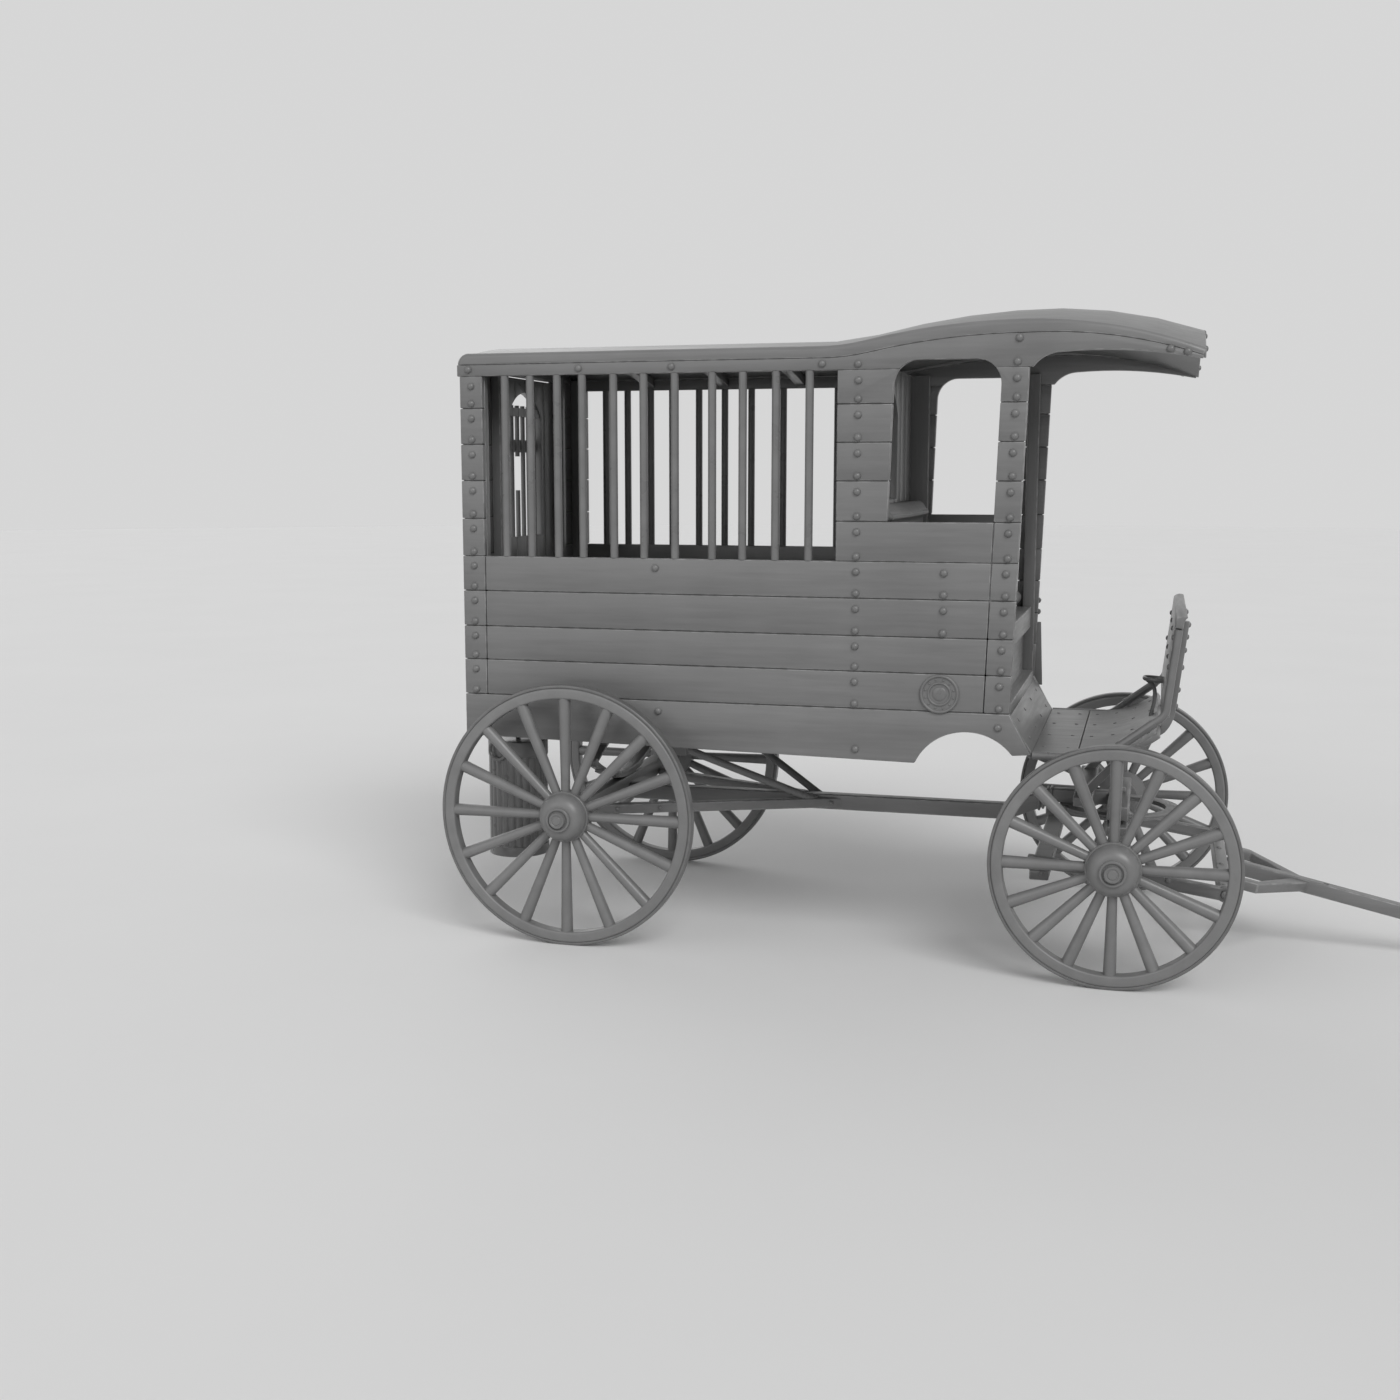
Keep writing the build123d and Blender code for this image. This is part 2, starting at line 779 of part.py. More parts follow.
def make_posts():
    # columns: rear X, front X, inner Y, outer Y
    table = (
        (rear_wall_inner_x, rear_wall_inner_x + rear_post_width, post_inner_y, wall_inner_y),
        (rear_wall_inner_x, rear_wall_inner_x + jamb_depth,
         door_half_width + door_gap, door_half_width + door_gap + jamb_width),
        (mid_post_rear_x, mid_post_front_x, post_inner_y, wall_inner_y),
        (front_post_rear_x, front_post_front_x, post_inner_y, wall_inner_y),
    )
    return both_sides(*[block(x0, x1, y0, y1, floor_top_z, post_top_z) for x0, x1, y0, y1 in table])


def make_window_bars():
    y = wall_inner_y + wall_thickness / 2
    x = corner_x
    bars = []
    for step in bar_steps:
        x += step
        if x + bar_radius < cell_window_front_x:
            bars.append(rod((x, y, cell_sill_z), (x, y, eaves_z), bar_radius))
    return both_sides(*bars)


def make_floor():
    span = 2 * wall_inner_y
    width = (span - (floor_board_count - 1) * plank_gap) / floor_board_count
    boards = []
    for n in range(floor_board_count):
        y = -wall_inner_y + n * (width + plank_gap)
        boards.append(block(body_rear_x, floor_front_x, y, y + width, floor_bottom_z, floor_top_z))
    return boards


def make_rear_planks():
    """Planks of the rear wall beside the door, in the side walls' courses."""
    heights = (floor_top_z,) + plank_joints[1:-1] + (door_top_z + door_gap,)
    planks = []
    for low, high in zip(heights, heights[1:]):
        low_z = low if low == floor_top_z else low + plank_gap / 2
        high_z = high if high == heights[-1] else high - plank_gap / 2
        planks.append(
            block(body_rear_x, body_rear_x + wall_thickness + plank_gap,
                  door_half_width + door_gap, wall_inner_y, low_z, high_z)
        )
    return both_sides(*planks)


def crown_arc(edge_z, crown, half_width):
    """Arc across the roof from side to side."""
    return ThreePointArc((-half_width, edge_z), (0, edge_z + crown), (half_width, edge_z))


def deck_radius():
    return (wall_inner_y ** 2 + rear_crown ** 2) / (2 * rear_crown)


def deck_under_z(y):
    """Height of the rear roof's underside at a place across the wagon."""
    radius = deck_radius()
    edge = fascia_top_z - deck_step - deck_thickness
    return edge + rear_crown - radius + sqrt(radius ** 2 - y ** 2)


def under_roof(low_z, depth, x0, x1, half_width):
    """Piece that fills the space under the crowned roof, level below or of constant depth."""
    side = deck_under_z(half_width)
    crown = deck_under_z(0) - side
    if depth:
        bottom = crown_arc(side - depth, crown, half_width)
        outline = (
            bottom + Line((half_width, side - depth), (half_width, side))
            + crown_arc(side, crown, half_width) + Line((-half_width, side), (-half_width, side - depth))
        )
    else:
        outline = (
            Polyline((-half_width, side), (-half_width, low_z), (half_width, low_z), (half_width, side))
            + crown_arc(side, crown, half_width)
        )
    return from_behind(outline, x0, x1)


def make_rear_header():
    return under_roof(
        door_top_z + door_gap, 0, body_rear_x, body_rear_x + wall_thickness + plank_gap, wall_inner_y
    )


def make_roof_bows():
    step = (roof_flat_x - rear_wall_inner_x) / (bow_count + 1)
    places = [rear_wall_inner_x + (n + 1) * step for n in range(bow_count)]
    return [under_roof(0, bow_depth, x, x + bow_width, wall_inner_y) for x in places]


def arched_opening(half_width, sill_z, spring_z, rise, x0, x1):
    outline = (
        Polyline((-half_width, spring_z), (-half_width, sill_z), (half_width, sill_z), (half_width, spring_z))
        + ThreePointArc((half_width, spring_z), (0, spring_z + rise), (-half_width, spring_z))
    )
    return from_behind(outline, x0, x1)


def make_partition():
    wall = block(
        partition_x, partition_x + partition_thickness, -post_inner_y, post_inner_y, floor_top_z, post_top_z
    )
    return wall - arched_opening(
        door_window_half_width, partition_sill_z, door_window_spring_z, door_window_rise,
        partition_x - cut_past, partition_x + partition_thickness + cut_past,
    )


def roof_point(x, depth=0):
    """Point on the roof's side curve at a place along it, or at a depth square below it."""
    if x <= roof_flat_x:
        return (x, fascia_top_z - depth)
    if x <= rise_turn_x:
        share = (x - roof_flat_x) / sag_radius
        reach = sag_radius + depth
        return (roof_flat_x + reach * share, fascia_top_z + sag_radius - reach * sqrt(1 - share ** 2))
    radius = rise_radius if x <= crest_x else fall_radius
    share = (x - crest_x) / radius
    reach = radius - depth
    return (crest_x + reach * share, crest_z - radius + reach * sqrt(1 - share ** 2))


def roof_curve(rear_x, depths):
    """The roof's side curve from the rear to the visor, at depths below the fascia's top."""
    # places where the curve changes: level, upward, downward, visor
    places = (roof_flat_x, rise_turn_x, crest_x, visor_x)
    curve = Line((rear_x, fascia_top_z - depths[0]), (roof_flat_x, fascia_top_z - depths[0]))
    for n in range(len(places) - 1):
        (x0, x1), (depth0, depth1) = places[n:n + 2], depths[n:n + 2]
        middle = roof_point((x0 + x1) / 2, (depth0 + depth1) / 2)
        curve += ThreePointArc(roof_point(x0, depth0), middle, roof_point(x1, depth1))
    return curve


def roll_seam():
    return roof_curve(roof_rear_x, (roll_depth, roll_turn_depth, roll_crest_depth, roll_visor_depth))


def make_fascia():
    """Left fascia under the roll: level along the cell, arched over the cab, run out as the visor's side."""
    rear_top = (roof_rear_x, fascia_top_z - roll_depth)
    front_top = roof_point(visor_x, roll_visor_depth)
    front_low = (front_top[0], visor_low_z)
    hollow, brow = (hollow_x, hollow_z), (brow_x, eaves_z)
    outline = (
        roll_seam() + Line(front_top, front_low) + bowed(front_low, hollow, -visor_hollow)
        + bowed(hollow, brow, -brow_bulge) + Polyline(brow, (roof_rear_x, eaves_z), rear_top)
    )
    return from_side(outline, wall_inner_y, body_half_width) - cab_window()


def make_roll():
    """Left rounded roll along the roof's edge, with its rear end turned down."""
    rear_x = roof_rear_x + roll_depth
    rear_low = (roof_rear_x, fascia_top_z - roll_depth)
    outer = body_half_width + roll_proud
    outline = (
        roof_curve(rear_x, (0, 0, 0, 0)) + Line(roof_point(visor_x), roof_point(visor_x, roll_visor_depth))
        + roll_seam() + bowed(rear_low, (rear_x, fascia_top_z), roll_depth * (1 - sqrt(0.5)))
    )
    roll = from_side(outline, wall_inner_y, outer)
    top = []
    for edge in roll.edges():
        middle = edge @ 0.5
        along_top = middle.X < rear_x or middle.Z > roof_point(middle.X)[1] - cut_past
        if along_top and middle.Y > outer - cut_past:
            top.append(edge)
    return fillet(top, roll_top_round)


def make_roof_deck():
    """Crowned deck between the rolls, its crown growing towards the visor's bowed front edge."""
    flat_top = fascia_top_z - deck_step
    flat_low = flat_top - deck_thickness
    rear_x = roof_rear_x + deck_step
    # columns: X, height of the deck's edge above and below, crown
    stations = [
        (rear_x, flat_top - deck_round, flat_low, rear_crown),
        (rear_x + deck_round, flat_top, flat_low, rear_crown),
        (roof_flat_x, flat_top, flat_low, rear_crown),
    ]
    for n in range(1, deck_strips + 1):
        share = n / deck_strips
        x = roof_flat_x + share * (visor_x - roof_flat_x)
        edge = roof_point(x)[1] - deck_step
        stations.append((x, edge, edge - deck_thickness, rear_crown + share * (visor_crown - rear_crown)))
    sections = []
    half = wall_inner_y
    for x, top, low, crown in stations:
        outline = (
            crown_arc(top, crown, half) + Line((half, top), (half, low))
            + crown_arc(low, crown, half) + Line((-half, low), (-half, top))
        )
        sections.append(Plane.YZ.offset(x) * make_face(outline))
    return loft(sections, ruled=True)


def make_medallions():
    """Plain round medallion with a raised rim on each bottom course."""
    r, t, boss = medallion_radius, medallion_thickness, medallion_boss_radius
    field = r - medallion_rim - medallion_slope
    outline = polygon(
        (0, 0), (r, 0), (r, t), (r - medallion_rim, t), (field, t / 2), (boss, t / 2),
        (boss - medallion_slope, t), (0, t),
    )
    disc = revolve(make_face(outline), Axis.Y)
    return both_sides(Pos(medallion_x, body_half_width, medallion_z) * disc)


def make_door_panel():
    panel = block(
        body_rear_x - (door_thickness - wall_thickness), body_rear_x + wall_thickness,
        -door_half_width, door_half_width, floor_top_z + door_gap, door_top_z,
    )
    return panel - arched_opening(
        door_window_half_width, door_window_sill_z, door_window_spring_z, door_window_rise,
        body_rear_x - door_thickness, body_rear_x + wall_thickness + cut_past,
    )


def make_door_bars():
    """Upright bars through a flat cross bar, one of them with its middle sawn out."""
    x = body_rear_x + wall_thickness / 2
    cross = block(
        x - door_cross_bar_depth, x + door_cross_bar_depth, -door_window_half_width, door_window_half_width,
        door_cross_bar_z - door_cross_bar_height / 2, door_cross_bar_z + door_cross_bar_height / 2,
    )
    springs_inside = arched_opening(
        door_window_half_width, door_window_sill_z, door_window_spring_z, door_window_rise,
        x - door_thickness, x + door_thickness,
    )
    grate = cross & springs_inside
    stubs = []
    for n, y in enumerate(door_bar_places):
        top = door_cross_bar_z + door_cross_bar_height / 2 + door_bar_radius
        if n == sawn_bar:
            stubs.append(rod((x, y, door_window_sill_z), (x, y, sawn_from_z), door_bar_radius))
            grate += rod((x, y, sawn_to_z), (x, y, top), door_bar_radius)
        else:
            grate += rod((x, y, door_window_sill_z), (x, y, top), door_bar_radius)
    return [grate] + stubs


def door_outer_x():
    return body_rear_x - (door_thickness - wall_thickness)


def door_hinge_place():
    """X and Y of the hinge pins, clear of the wall and the door's edge."""
    return door_outer_x() - hinge_barrel_radius - hinge_back_gap, door_half_width + door_gap / 2


def make_door_irons():
    """Strap hinges with their barrels, and the bolt drawn back in its plate."""
    face = door_outer_x()
    pin_x, pin_y = door_hinge_place()
    irons = []
    for z in hinge_heights:
        low, high = z - hinge_knuckle / 2, z + hinge_knuckle / 2
        strap_end = door_half_width - strap_length
        strap = block(face - strap_thickness, face, strap_end, door_half_width, low, high)
        barrel = rod((pin_x, pin_y, low), (pin_x, pin_y, high), hinge_barrel_radius)
        neck_y = door_half_width - hinge_barrel_radius
        neck = block(pin_x, face - strap_thickness / 2, neck_y, pin_y, low, high)
        ends = (pin_x, pin_y, low - cut_past), (pin_x, pin_y, high + cut_past)
        bore = rod(*ends, door_pin_radius + hinge_pin_fit)
        irons.append(strap + neck + barrel - bore)
    plate_y = -door_half_width + door_gap
    plate = block(
        face - strap_thickness, face, plate_y, plate_y + bolt_plate_length,
        bolt_z - bolt_plate_height / 2, bolt_z + bolt_plate_height / 2,
    )
    bolt_x = face - strap_thickness - bolt_radius + bolt_sink
    bolt = rod((bolt_x, plate_y, bolt_z), (bolt_x, plate_y + bolt_length, bolt_z), bolt_radius)
    return irons + [plate + bolt]


def make_hinge_leaves():
    """Hinge leaves on the rear wall with their pins and outer barrels, and the bolt's keeper."""
    pin_x, pin_y = door_hinge_place()
    leaf_y = door_half_width + door_gap + plank_gap
    leaves = []
    for z in hinge_heights:
        low, high = z - hinge_height / 2, z + hinge_height / 2
        piece = block(
            body_rear_x - strap_thickness, body_rear_x, leaf_y, leaf_y + leaf_length, low, high
        ) + rod((pin_x, pin_y, low), (pin_x, pin_y, high), door_pin_radius)
        gap = hinge_knuckle / 2 + hinge_knuckle_gap
        for start, end in ((low, z - gap), (z + gap, high)):
            piece += rod((pin_x, pin_y, start), (pin_x, pin_y, end), hinge_barrel_radius)
            seat_x = body_rear_x - strap_thickness / 2
            piece += block(pin_x, seat_x, pin_y, leaf_y + strap_thickness, start, end)
        leaves.append(piece)
    keeper_y = -door_half_width - door_gap - plank_gap
    keeper = block(
        body_rear_x - keeper_size, body_rear_x, keeper_y - keeper_size, keeper_y,
        bolt_z - keeper_size / 2, bolt_z + keeper_size / 2,
    )
    bolt_x = door_outer_x() - strap_thickness - bolt_radius + bolt_sink
    slot = rod(
        (bolt_x, keeper_y - keeper_size - cut_past, bolt_z), (bolt_x, keeper_y + cut_past, bolt_z),
        bolt_radius + keeper_fit,
    )
    return leaves + [keeper - slot]


def make_seat_box():
    """Seat board with its deep front edge, the panel under it and the ledge above the toe board."""
    half = seat_half_width
    low = seat_board_top_z - seat_board_thickness
    panel_x = seat_front_x - seat_front_thickness
    board = block(partition_x + partition_thickness, seat_nose_x, -half, half, low, seat_board_top_z)
    apron = block(panel_x, seat_nose_x, -half, half, seat_board_top_z - seat_apron, seat_board_top_z)
    panel = block(panel_x, seat_front_x, -half, half, floor_top_z, low)
    ledge = block(panel_x, floor_front_x + toe_reach, -half, half, floor_top_z, ledge_top_z)
    return board + apron + panel + ledge


def make_cushion():
    low = seat_board_top_z + soft_gap
    high = low + cushion_height
    r = cushion_height / 2
    round_x = cushion_front_x - r
    outline = (
        Polyline((round_x, high), (cushion_rear_x, high), (cushion_rear_x, low), (round_x, low))
        + ThreePointArc((round_x, low), (cushion_front_x, low + r), (round_x, high))
    )
    return from_side(outline, -cushion_half_width, cushion_half_width)


def make_seat_back():
    rear = partition_x + partition_thickness + soft_gap
    low = seat_board_top_z + soft_gap
    pad = block(rear, rear + back_thickness, -cushion_half_width, cushion_half_width, low, back_top_z)
    roll_x = rear + back_roll_radius
    ends = (roll_x, -cushion_half_width, back_top_z), (roll_x, cushion_half_width, back_top_z)
    roll = rod(*ends, back_roll_radius)
    return pad + roll


def make_toe_board():
    """Sloped board from the seat front down to the footboard."""
    top = (floor_front_x + toe_reach, skirt_top_z - toe_board_drop)
    foot = (footboard_x, footboard_z)
    run = (foot[0] - top[0], foot[1] - top[1])
    drop = toe_board_thickness * hypot(*run) / run[0]
    low = footboard_z - footboard_thickness
    back_x = foot[0] + (low - (foot[1] - drop)) * run[0] / run[1]
    outline = polygon(top, foot, (foot[0], low), (back_x, low), (top[0], top[1] - drop))
    return from_side(outline, -wall_inner_y, wall_inner_y)


def bend_point(radius, angle):
    """Point on the footboard's bend, by its radius from the bend's centre."""
    centre_z = footboard_z + footboard_bend_radius
    return (footboard_bend_x + radius * sin(radians(angle)), centre_z - radius * cos(radians(angle)))


def make_footboard():
    half = rail_y - rail_radius - soft_gap
    top_r = footboard_bend_radius
    low_r = footboard_bend_radius + footboard_thickness
    low = footboard_z - footboard_thickness
    mid, end = footboard_sweep / 2, footboard_sweep
    rear = block(footboard_x, footboard_seam_x, -half, half, low, footboard_z)
    outline = (
        Polyline((footboard_bend_x, footboard_z), (footboard_seam_x + plank_gap, footboard_z),
                 (footboard_seam_x + plank_gap, low), (footboard_bend_x, low))
        + ThreePointArc((footboard_bend_x, low), bend_point(low_r, mid), bend_point(low_r, end))
        + Line(bend_point(low_r, end), bend_point(top_r, end))
        + ThreePointArc(bend_point(top_r, end), bend_point(top_r, mid), (footboard_bend_x, footboard_z))
    )
    return [rear, from_side(outline, -half, half)]


def dash_point(along, depth):
    """Point in X and Z at a height along the leaning dash and a depth in front of its rear face."""
    up = (sin(radians(dash_lean)), cos(radians(dash_lean)))
    return (dash_x + along * up[0] + depth * up[1], dash_z + along * up[1] - depth * up[0])


def make_dash_boards():
    """Boards across the dash, the top one curled forward."""
    half = rail_y - rail_radius - soft_gap
    boards = []
    for low, high in zip(dash_joints, dash_joints[1:]):
        bottom = low + plank_gap / 2 if low else low
        foot = Polyline(dash_point(bottom, 0), dash_point(bottom, dash_thickness))
        if high == dash_joints[-1]:
            start = dash_point(high - dash_scroll / 2, 0)
            neck = dash_point(high - dash_scroll, dash_thickness)
            tip = dash_point(high - dash_lip_drop, dash_thickness + dash_lip)
            outline = (
                foot + Line(dash_point(bottom, dash_thickness), neck) + bowed(neck, tip, dash_curl / 2)
                + bowed(tip, start, -dash_curl) + Line(start, dash_point(bottom, 0))
            )
        else:
            top = high - plank_gap / 2
            outline = foot + Polyline(
                dash_point(bottom, dash_thickness), dash_point(top, dash_thickness), dash_point(top, 0),
                dash_point(bottom, 0),
            )
        boards.append(from_side(outline, -half, half))
    return boards


def make_dash_irons():
    """Flat irons that carry the footboard and the dash, each with its brace down to the transom."""
    low = footboard_z - footboard_thickness
    under = low - dash_iron_thickness
    inner_r = footboard_bend_radius + footboard_thickness
    outer_r = inner_r + dash_iron_thickness
    mid, end = footboard_sweep / 2, footboard_sweep
    tail_x = footboard_x + dash_iron_tail
    outer_depth = dash_thickness + dash_iron_thickness
    heel = dash_point(-dash_iron_heel, outer_depth)
    outline = (
        Line((tail_x, low), (footboard_bend_x, low))
        + ThreePointArc((footboard_bend_x, low), bend_point(inner_r, mid), bend_point(inner_r, end))
        + Polyline(bend_point(inner_r, end), dash_point(0, dash_thickness),
                   dash_point(dash_iron_height, dash_thickness), dash_point(dash_iron_height, outer_depth),
                   heel)
        + bowed(heel, bend_point(outer_r, end), dash_iron_bulge)
        + ThreePointArc(bend_point(outer_r, end), bend_point(outer_r, mid), (footboard_bend_x, under))
        + Polyline((footboard_bend_x, under), (tail_x, under), (tail_x, low))
    )
    y0 = dash_iron_y - dash_iron_width / 2
    y1 = dash_iron_y + dash_iron_width / 2
    strap = from_side(outline, y0, y1)
    foot_x = wheelbase - transom_back + (transom_width - brace_foot_width) / 2
    foot_z = bolster_top_z + transom_height
    middle_r = (inner_r + outer_r) / 2
    brace = from_side(
        polygon(
            (foot_x, foot_z), (foot_x + brace_foot_width, foot_z),
            bend_point(middle_r, mid + brace_to), bend_point(middle_r, mid + brace_from),
        ),
        y0, y1,
    )
    return both_sides(strap + brace)


def make_rails():
    """Bent side rails from the body's toe along the footboard and up beside the dash."""
    start_x = toe_x + rail_start
    level = footboard_z - footboard_thickness / 2
    top = dash_point(dash_joints[-1] - rail_top_back, dash_thickness / 2)
    knee = dash_point(rail_knee, dash_thickness / 2)
    places = [(start_x, level), (start_x + rail_level, level), knee, top]
    path = FilletPolyline(*[(x, rail_y, z) for x, z in places], radius=rail_bend_radius)
    tube = sweep(Plane(origin=path @ 0, z_dir=path % 0) * Circle(rail_radius), path=path)
    return both_sides(tube)


def make_transom():
    rear = wheelbase - transom_back
    return block(
        rear, rear + transom_width, -transom_half_length, transom_half_length,
        bolster_top_z, bolster_top_z + transom_height,
    )


def make_barrel():
    """Fluted barrel with a smooth band at each end."""
    section = None
    for n in range(flute_count):
        valley, crest, following = [radians(360 * (n + share) / flute_count) for share in (0, 0.5, 1)]
        crest_radius = barrel_radius + flute_depth
        flute = ThreePointArc(
            (barrel_radius * cos(valley), barrel_radius * sin(valley)),
            (crest_radius * cos(crest), crest_radius * sin(crest)),
            (barrel_radius * cos(following), barrel_radius * sin(following)),
        )
        section = flute if section is None else section + flute
    height = barrel_top_z - barrel_bottom_z
    body = Pos(0, 0, barrel_bottom_band) * extrude(
        make_face(section), height - barrel_bottom_band - barrel_top_band
    )
    low_band = extrude(Circle(barrel_band_radius), barrel_bottom_band)
    high_band = Pos(0, 0, height - barrel_top_band) * extrude(Circle(barrel_band_radius), barrel_top_band)
    return Pos(barrel_x, barrel_y, barrel_bottom_z) * (low_band + body + high_band)


def make_hanger():
    plate_low = floor_bottom_z - hanger_plate_thickness
    half = hanger_plate / 2
    plate = block(
        barrel_x - half, barrel_x + half, barrel_y - half, barrel_y + half / 2, plate_low, floor_bottom_z
    )
    ends = (barrel_x, barrel_y, barrel_top_z), (barrel_x, barrel_y, floor_bottom_z)
    return plate + rod(*ends, hanger_radius)


def make_bracket():
    """Tapered plate with two knobs on the outside of the left front post."""
    plate = from_side(
        polygon(
            (bracket_x - bracket_low_width / 2, bracket_low_z),
            (bracket_x + bracket_low_width / 2, bracket_low_z),
            (bracket_x + bracket_high_width / 2, bracket_high_z),
            (bracket_x - bracket_high_width / 2, bracket_high_z),
        ),
        body_half_width, body_half_width + bracket_thickness,
    )
    knob_y = body_half_width + bracket_knob_length
    knobs = [
        rod((bracket_x, body_half_width, z), (bracket_x, knob_y, z), bracket_knob_radius)
        for z in bracket_knob_heights
    ]
    return [plate] + knobs


save_wheels()
save("rear_axle", make_axle(0, rear_wheel_radius))
save("reach_pole", make_reach())
save("rear_hounds", make_hounds())
save("rear_spring", make_spring())
save("rear_bearer", block(-bearer_width / 2, bearer_width / 2, -bearer_half_length, bearer_half_length,
                          bearer_bottom_z, sill_bottom_z))
save("stays", make_stays())
save("sills", both_sides(block(sill_rear_x, sill_front_x, sill_y - sill_width / 2, sill_y + sill_width / 2,
                               sill_bottom_z, floor_bottom_z)))
save("front_bolster", make_bolster())
save("upper_turntable", make_turntable_plate(upper_plate_z))
save("king_pin", make_king_pin())
save("transom", make_transom())
save("front_axle", make_front_axle())
save("lower_turntable", make_turntable_plate(sand_board_top_z))
save("futchells", make_futchells())
save("splinter_bar", make_splinter_bar())
save("pole", make_pole())
save("pole_arms", make_pole_arms())
save("pole_tip", make_pole_tip())
left_wall = make_wall_planks()
save("left_wall", left_wall)
save("right_wall", [other_side(plank) for plank in left_wall])
save("skirts", both_sides(make_skirt()))
save("posts", make_posts())
save("window_bars", make_window_bars())
save("floor_boards", make_floor())
save("rear_wall", make_rear_planks())
save("rear_header", make_rear_header())
save("partition", make_partition())
save("fascias", both_sides(make_fascia()))
save("eaves_rolls", both_sides(make_roll()))
save("roof_deck", make_roof_deck())
save("roof_bows", make_roof_bows())
save("medallions", make_medallions())
save("door_panel", make_door_panel())
save("door_bars", make_door_bars())
save("door_irons", make_door_irons())
save("hinge_leaves", make_hinge_leaves())
save("seat_box", make_seat_box())
save("seat_cushion", make_cushion())
save("seat_back", make_seat_back())
save("toe_board", make_toe_board())
save("footboard", make_footboard())
save("footboard_rails", make_rails())
save("dash_boards", make_dash_boards())
save("dash_irons", make_dash_irons())
save("barrel", make_barrel())
save("barrel_hanger", make_hanger())
save("post_bracket", make_bracket())
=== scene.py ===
"""Jail wagon dressing: paint, eased edges, turned wheels, rivets and stuffed seat around the fixed frame.

Metres. +X points forward to the pole, +Y to the wagon's left, +Z up, ground at Z = 0.
"""
import json
import math

import bmesh
import bpy
from mathutils import Matrix, Vector
from mathutils.bvhtree import BVHTree


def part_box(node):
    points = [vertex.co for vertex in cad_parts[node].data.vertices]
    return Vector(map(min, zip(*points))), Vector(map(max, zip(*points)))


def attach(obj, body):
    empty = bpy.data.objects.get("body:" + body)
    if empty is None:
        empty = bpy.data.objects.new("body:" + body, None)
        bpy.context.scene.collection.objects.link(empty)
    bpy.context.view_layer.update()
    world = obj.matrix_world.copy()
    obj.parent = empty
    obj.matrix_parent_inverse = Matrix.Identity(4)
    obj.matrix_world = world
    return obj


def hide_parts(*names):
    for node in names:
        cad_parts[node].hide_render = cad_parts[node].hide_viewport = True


bl_info = {
    "name": "Jail Wagon Dressing",
    "version": (1, 0, 0),
    "blender": (4, 5, 0),
    "location": "View3D > Sidebar > Wagon",
    "description": "Paints and details a horse-drawn jail wagon around its construction frame",
    "category": "Object",
}

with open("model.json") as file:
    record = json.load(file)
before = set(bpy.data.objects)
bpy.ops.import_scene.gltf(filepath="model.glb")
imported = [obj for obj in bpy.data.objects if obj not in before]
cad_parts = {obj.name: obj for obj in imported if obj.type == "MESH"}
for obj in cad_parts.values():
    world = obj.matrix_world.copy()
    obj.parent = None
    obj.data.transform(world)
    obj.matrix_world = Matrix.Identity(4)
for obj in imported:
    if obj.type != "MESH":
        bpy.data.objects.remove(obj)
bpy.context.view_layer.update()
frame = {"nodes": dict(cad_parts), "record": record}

SIDES = {"left": 1, "right": -1}
ENDS = ("rear", "front")
BODY = "wagon_body"
WELD = 1e-5                          # distance under which loose triangles' corners are one point
FLAT_ANGLE = math.radians(0.2)       # faces that meet flatter than this are one face
CORNER_ANGLE = math.radians(38)      # edges sharper than this are eased
SHARP_ANGLE = math.radians(32)       # edges sharper than this stay crisp in the shading
SQUARE_ON = 0.9                      # a face whose normal has this much of an axis looks along it
EASE_SEGMENTS = 2                    # faces across an eased edge
BLOCK_SEGMENTS = 3                   # faces across a small block's rounded edge
ROUND_PROFILE = 0.5                  # a rounded edge that is part of a circle
BAR_RESOLUTION = 3                   # roundness of a swept bar's section
BAR_STEPS = 10                       # from one point of a swept bar to the next
FORWARD, REARWARD, UP, DOWN = (1, 0, 0), (-1, 0, 0), (0, 0, 1), (0, 0, -1)


def middle(node):
    low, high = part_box(node)
    return (low + high) / 2


REAR_AXLE_X = middle("rear_left_tyre").x
WALL_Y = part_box("left_wall")[1].y    # outer face of the left wall
REAR_WALL_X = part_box("rear_wall")[0].x


def along(distance):
    """X of a place measured forward from the rear axle."""
    return REAR_AXLE_X + distance


# Woodwork nodes by the axis that their grain follows
WOOD_GRAIN = {
    "X": ("left_wall", "right_wall", "skirts", "fascias", "eaves_rolls", "floor_boards", "roof_deck",
          "footboard", "reach_pole", "sills", "rear_hounds", "futchells", "pole", "pole_arms"),
    "Y": ("rear_wall", "rear_header", "roof_bows", "seat_box", "toe_board", "dash_boards", "rear_axle",
          "rear_bearer", "front_bolster", "transom", "front_axle", "splinter_bar"),
    "Z": ("posts", "partition", "door_panel"),
}
EASED_IRON = (
    "stays", "upper_turntable", "lower_turntable", "king_pin", "pole_tip", "door_irons", "hinge_leaves",
    "dash_irons", "post_bracket", "barrel_hanger", "rear_spring", "barrel",
)
ROUND_IRON = ("window_bars", "door_bars", "footboard_rails")
NODE_SLOT = {row["node"]: row["material_slot"] for row in frame["record"]["subparts"]}
NODE_BODY = {node: body for body, nodes in frame["record"]["behaviour"]["bodies"].items() for node in nodes}


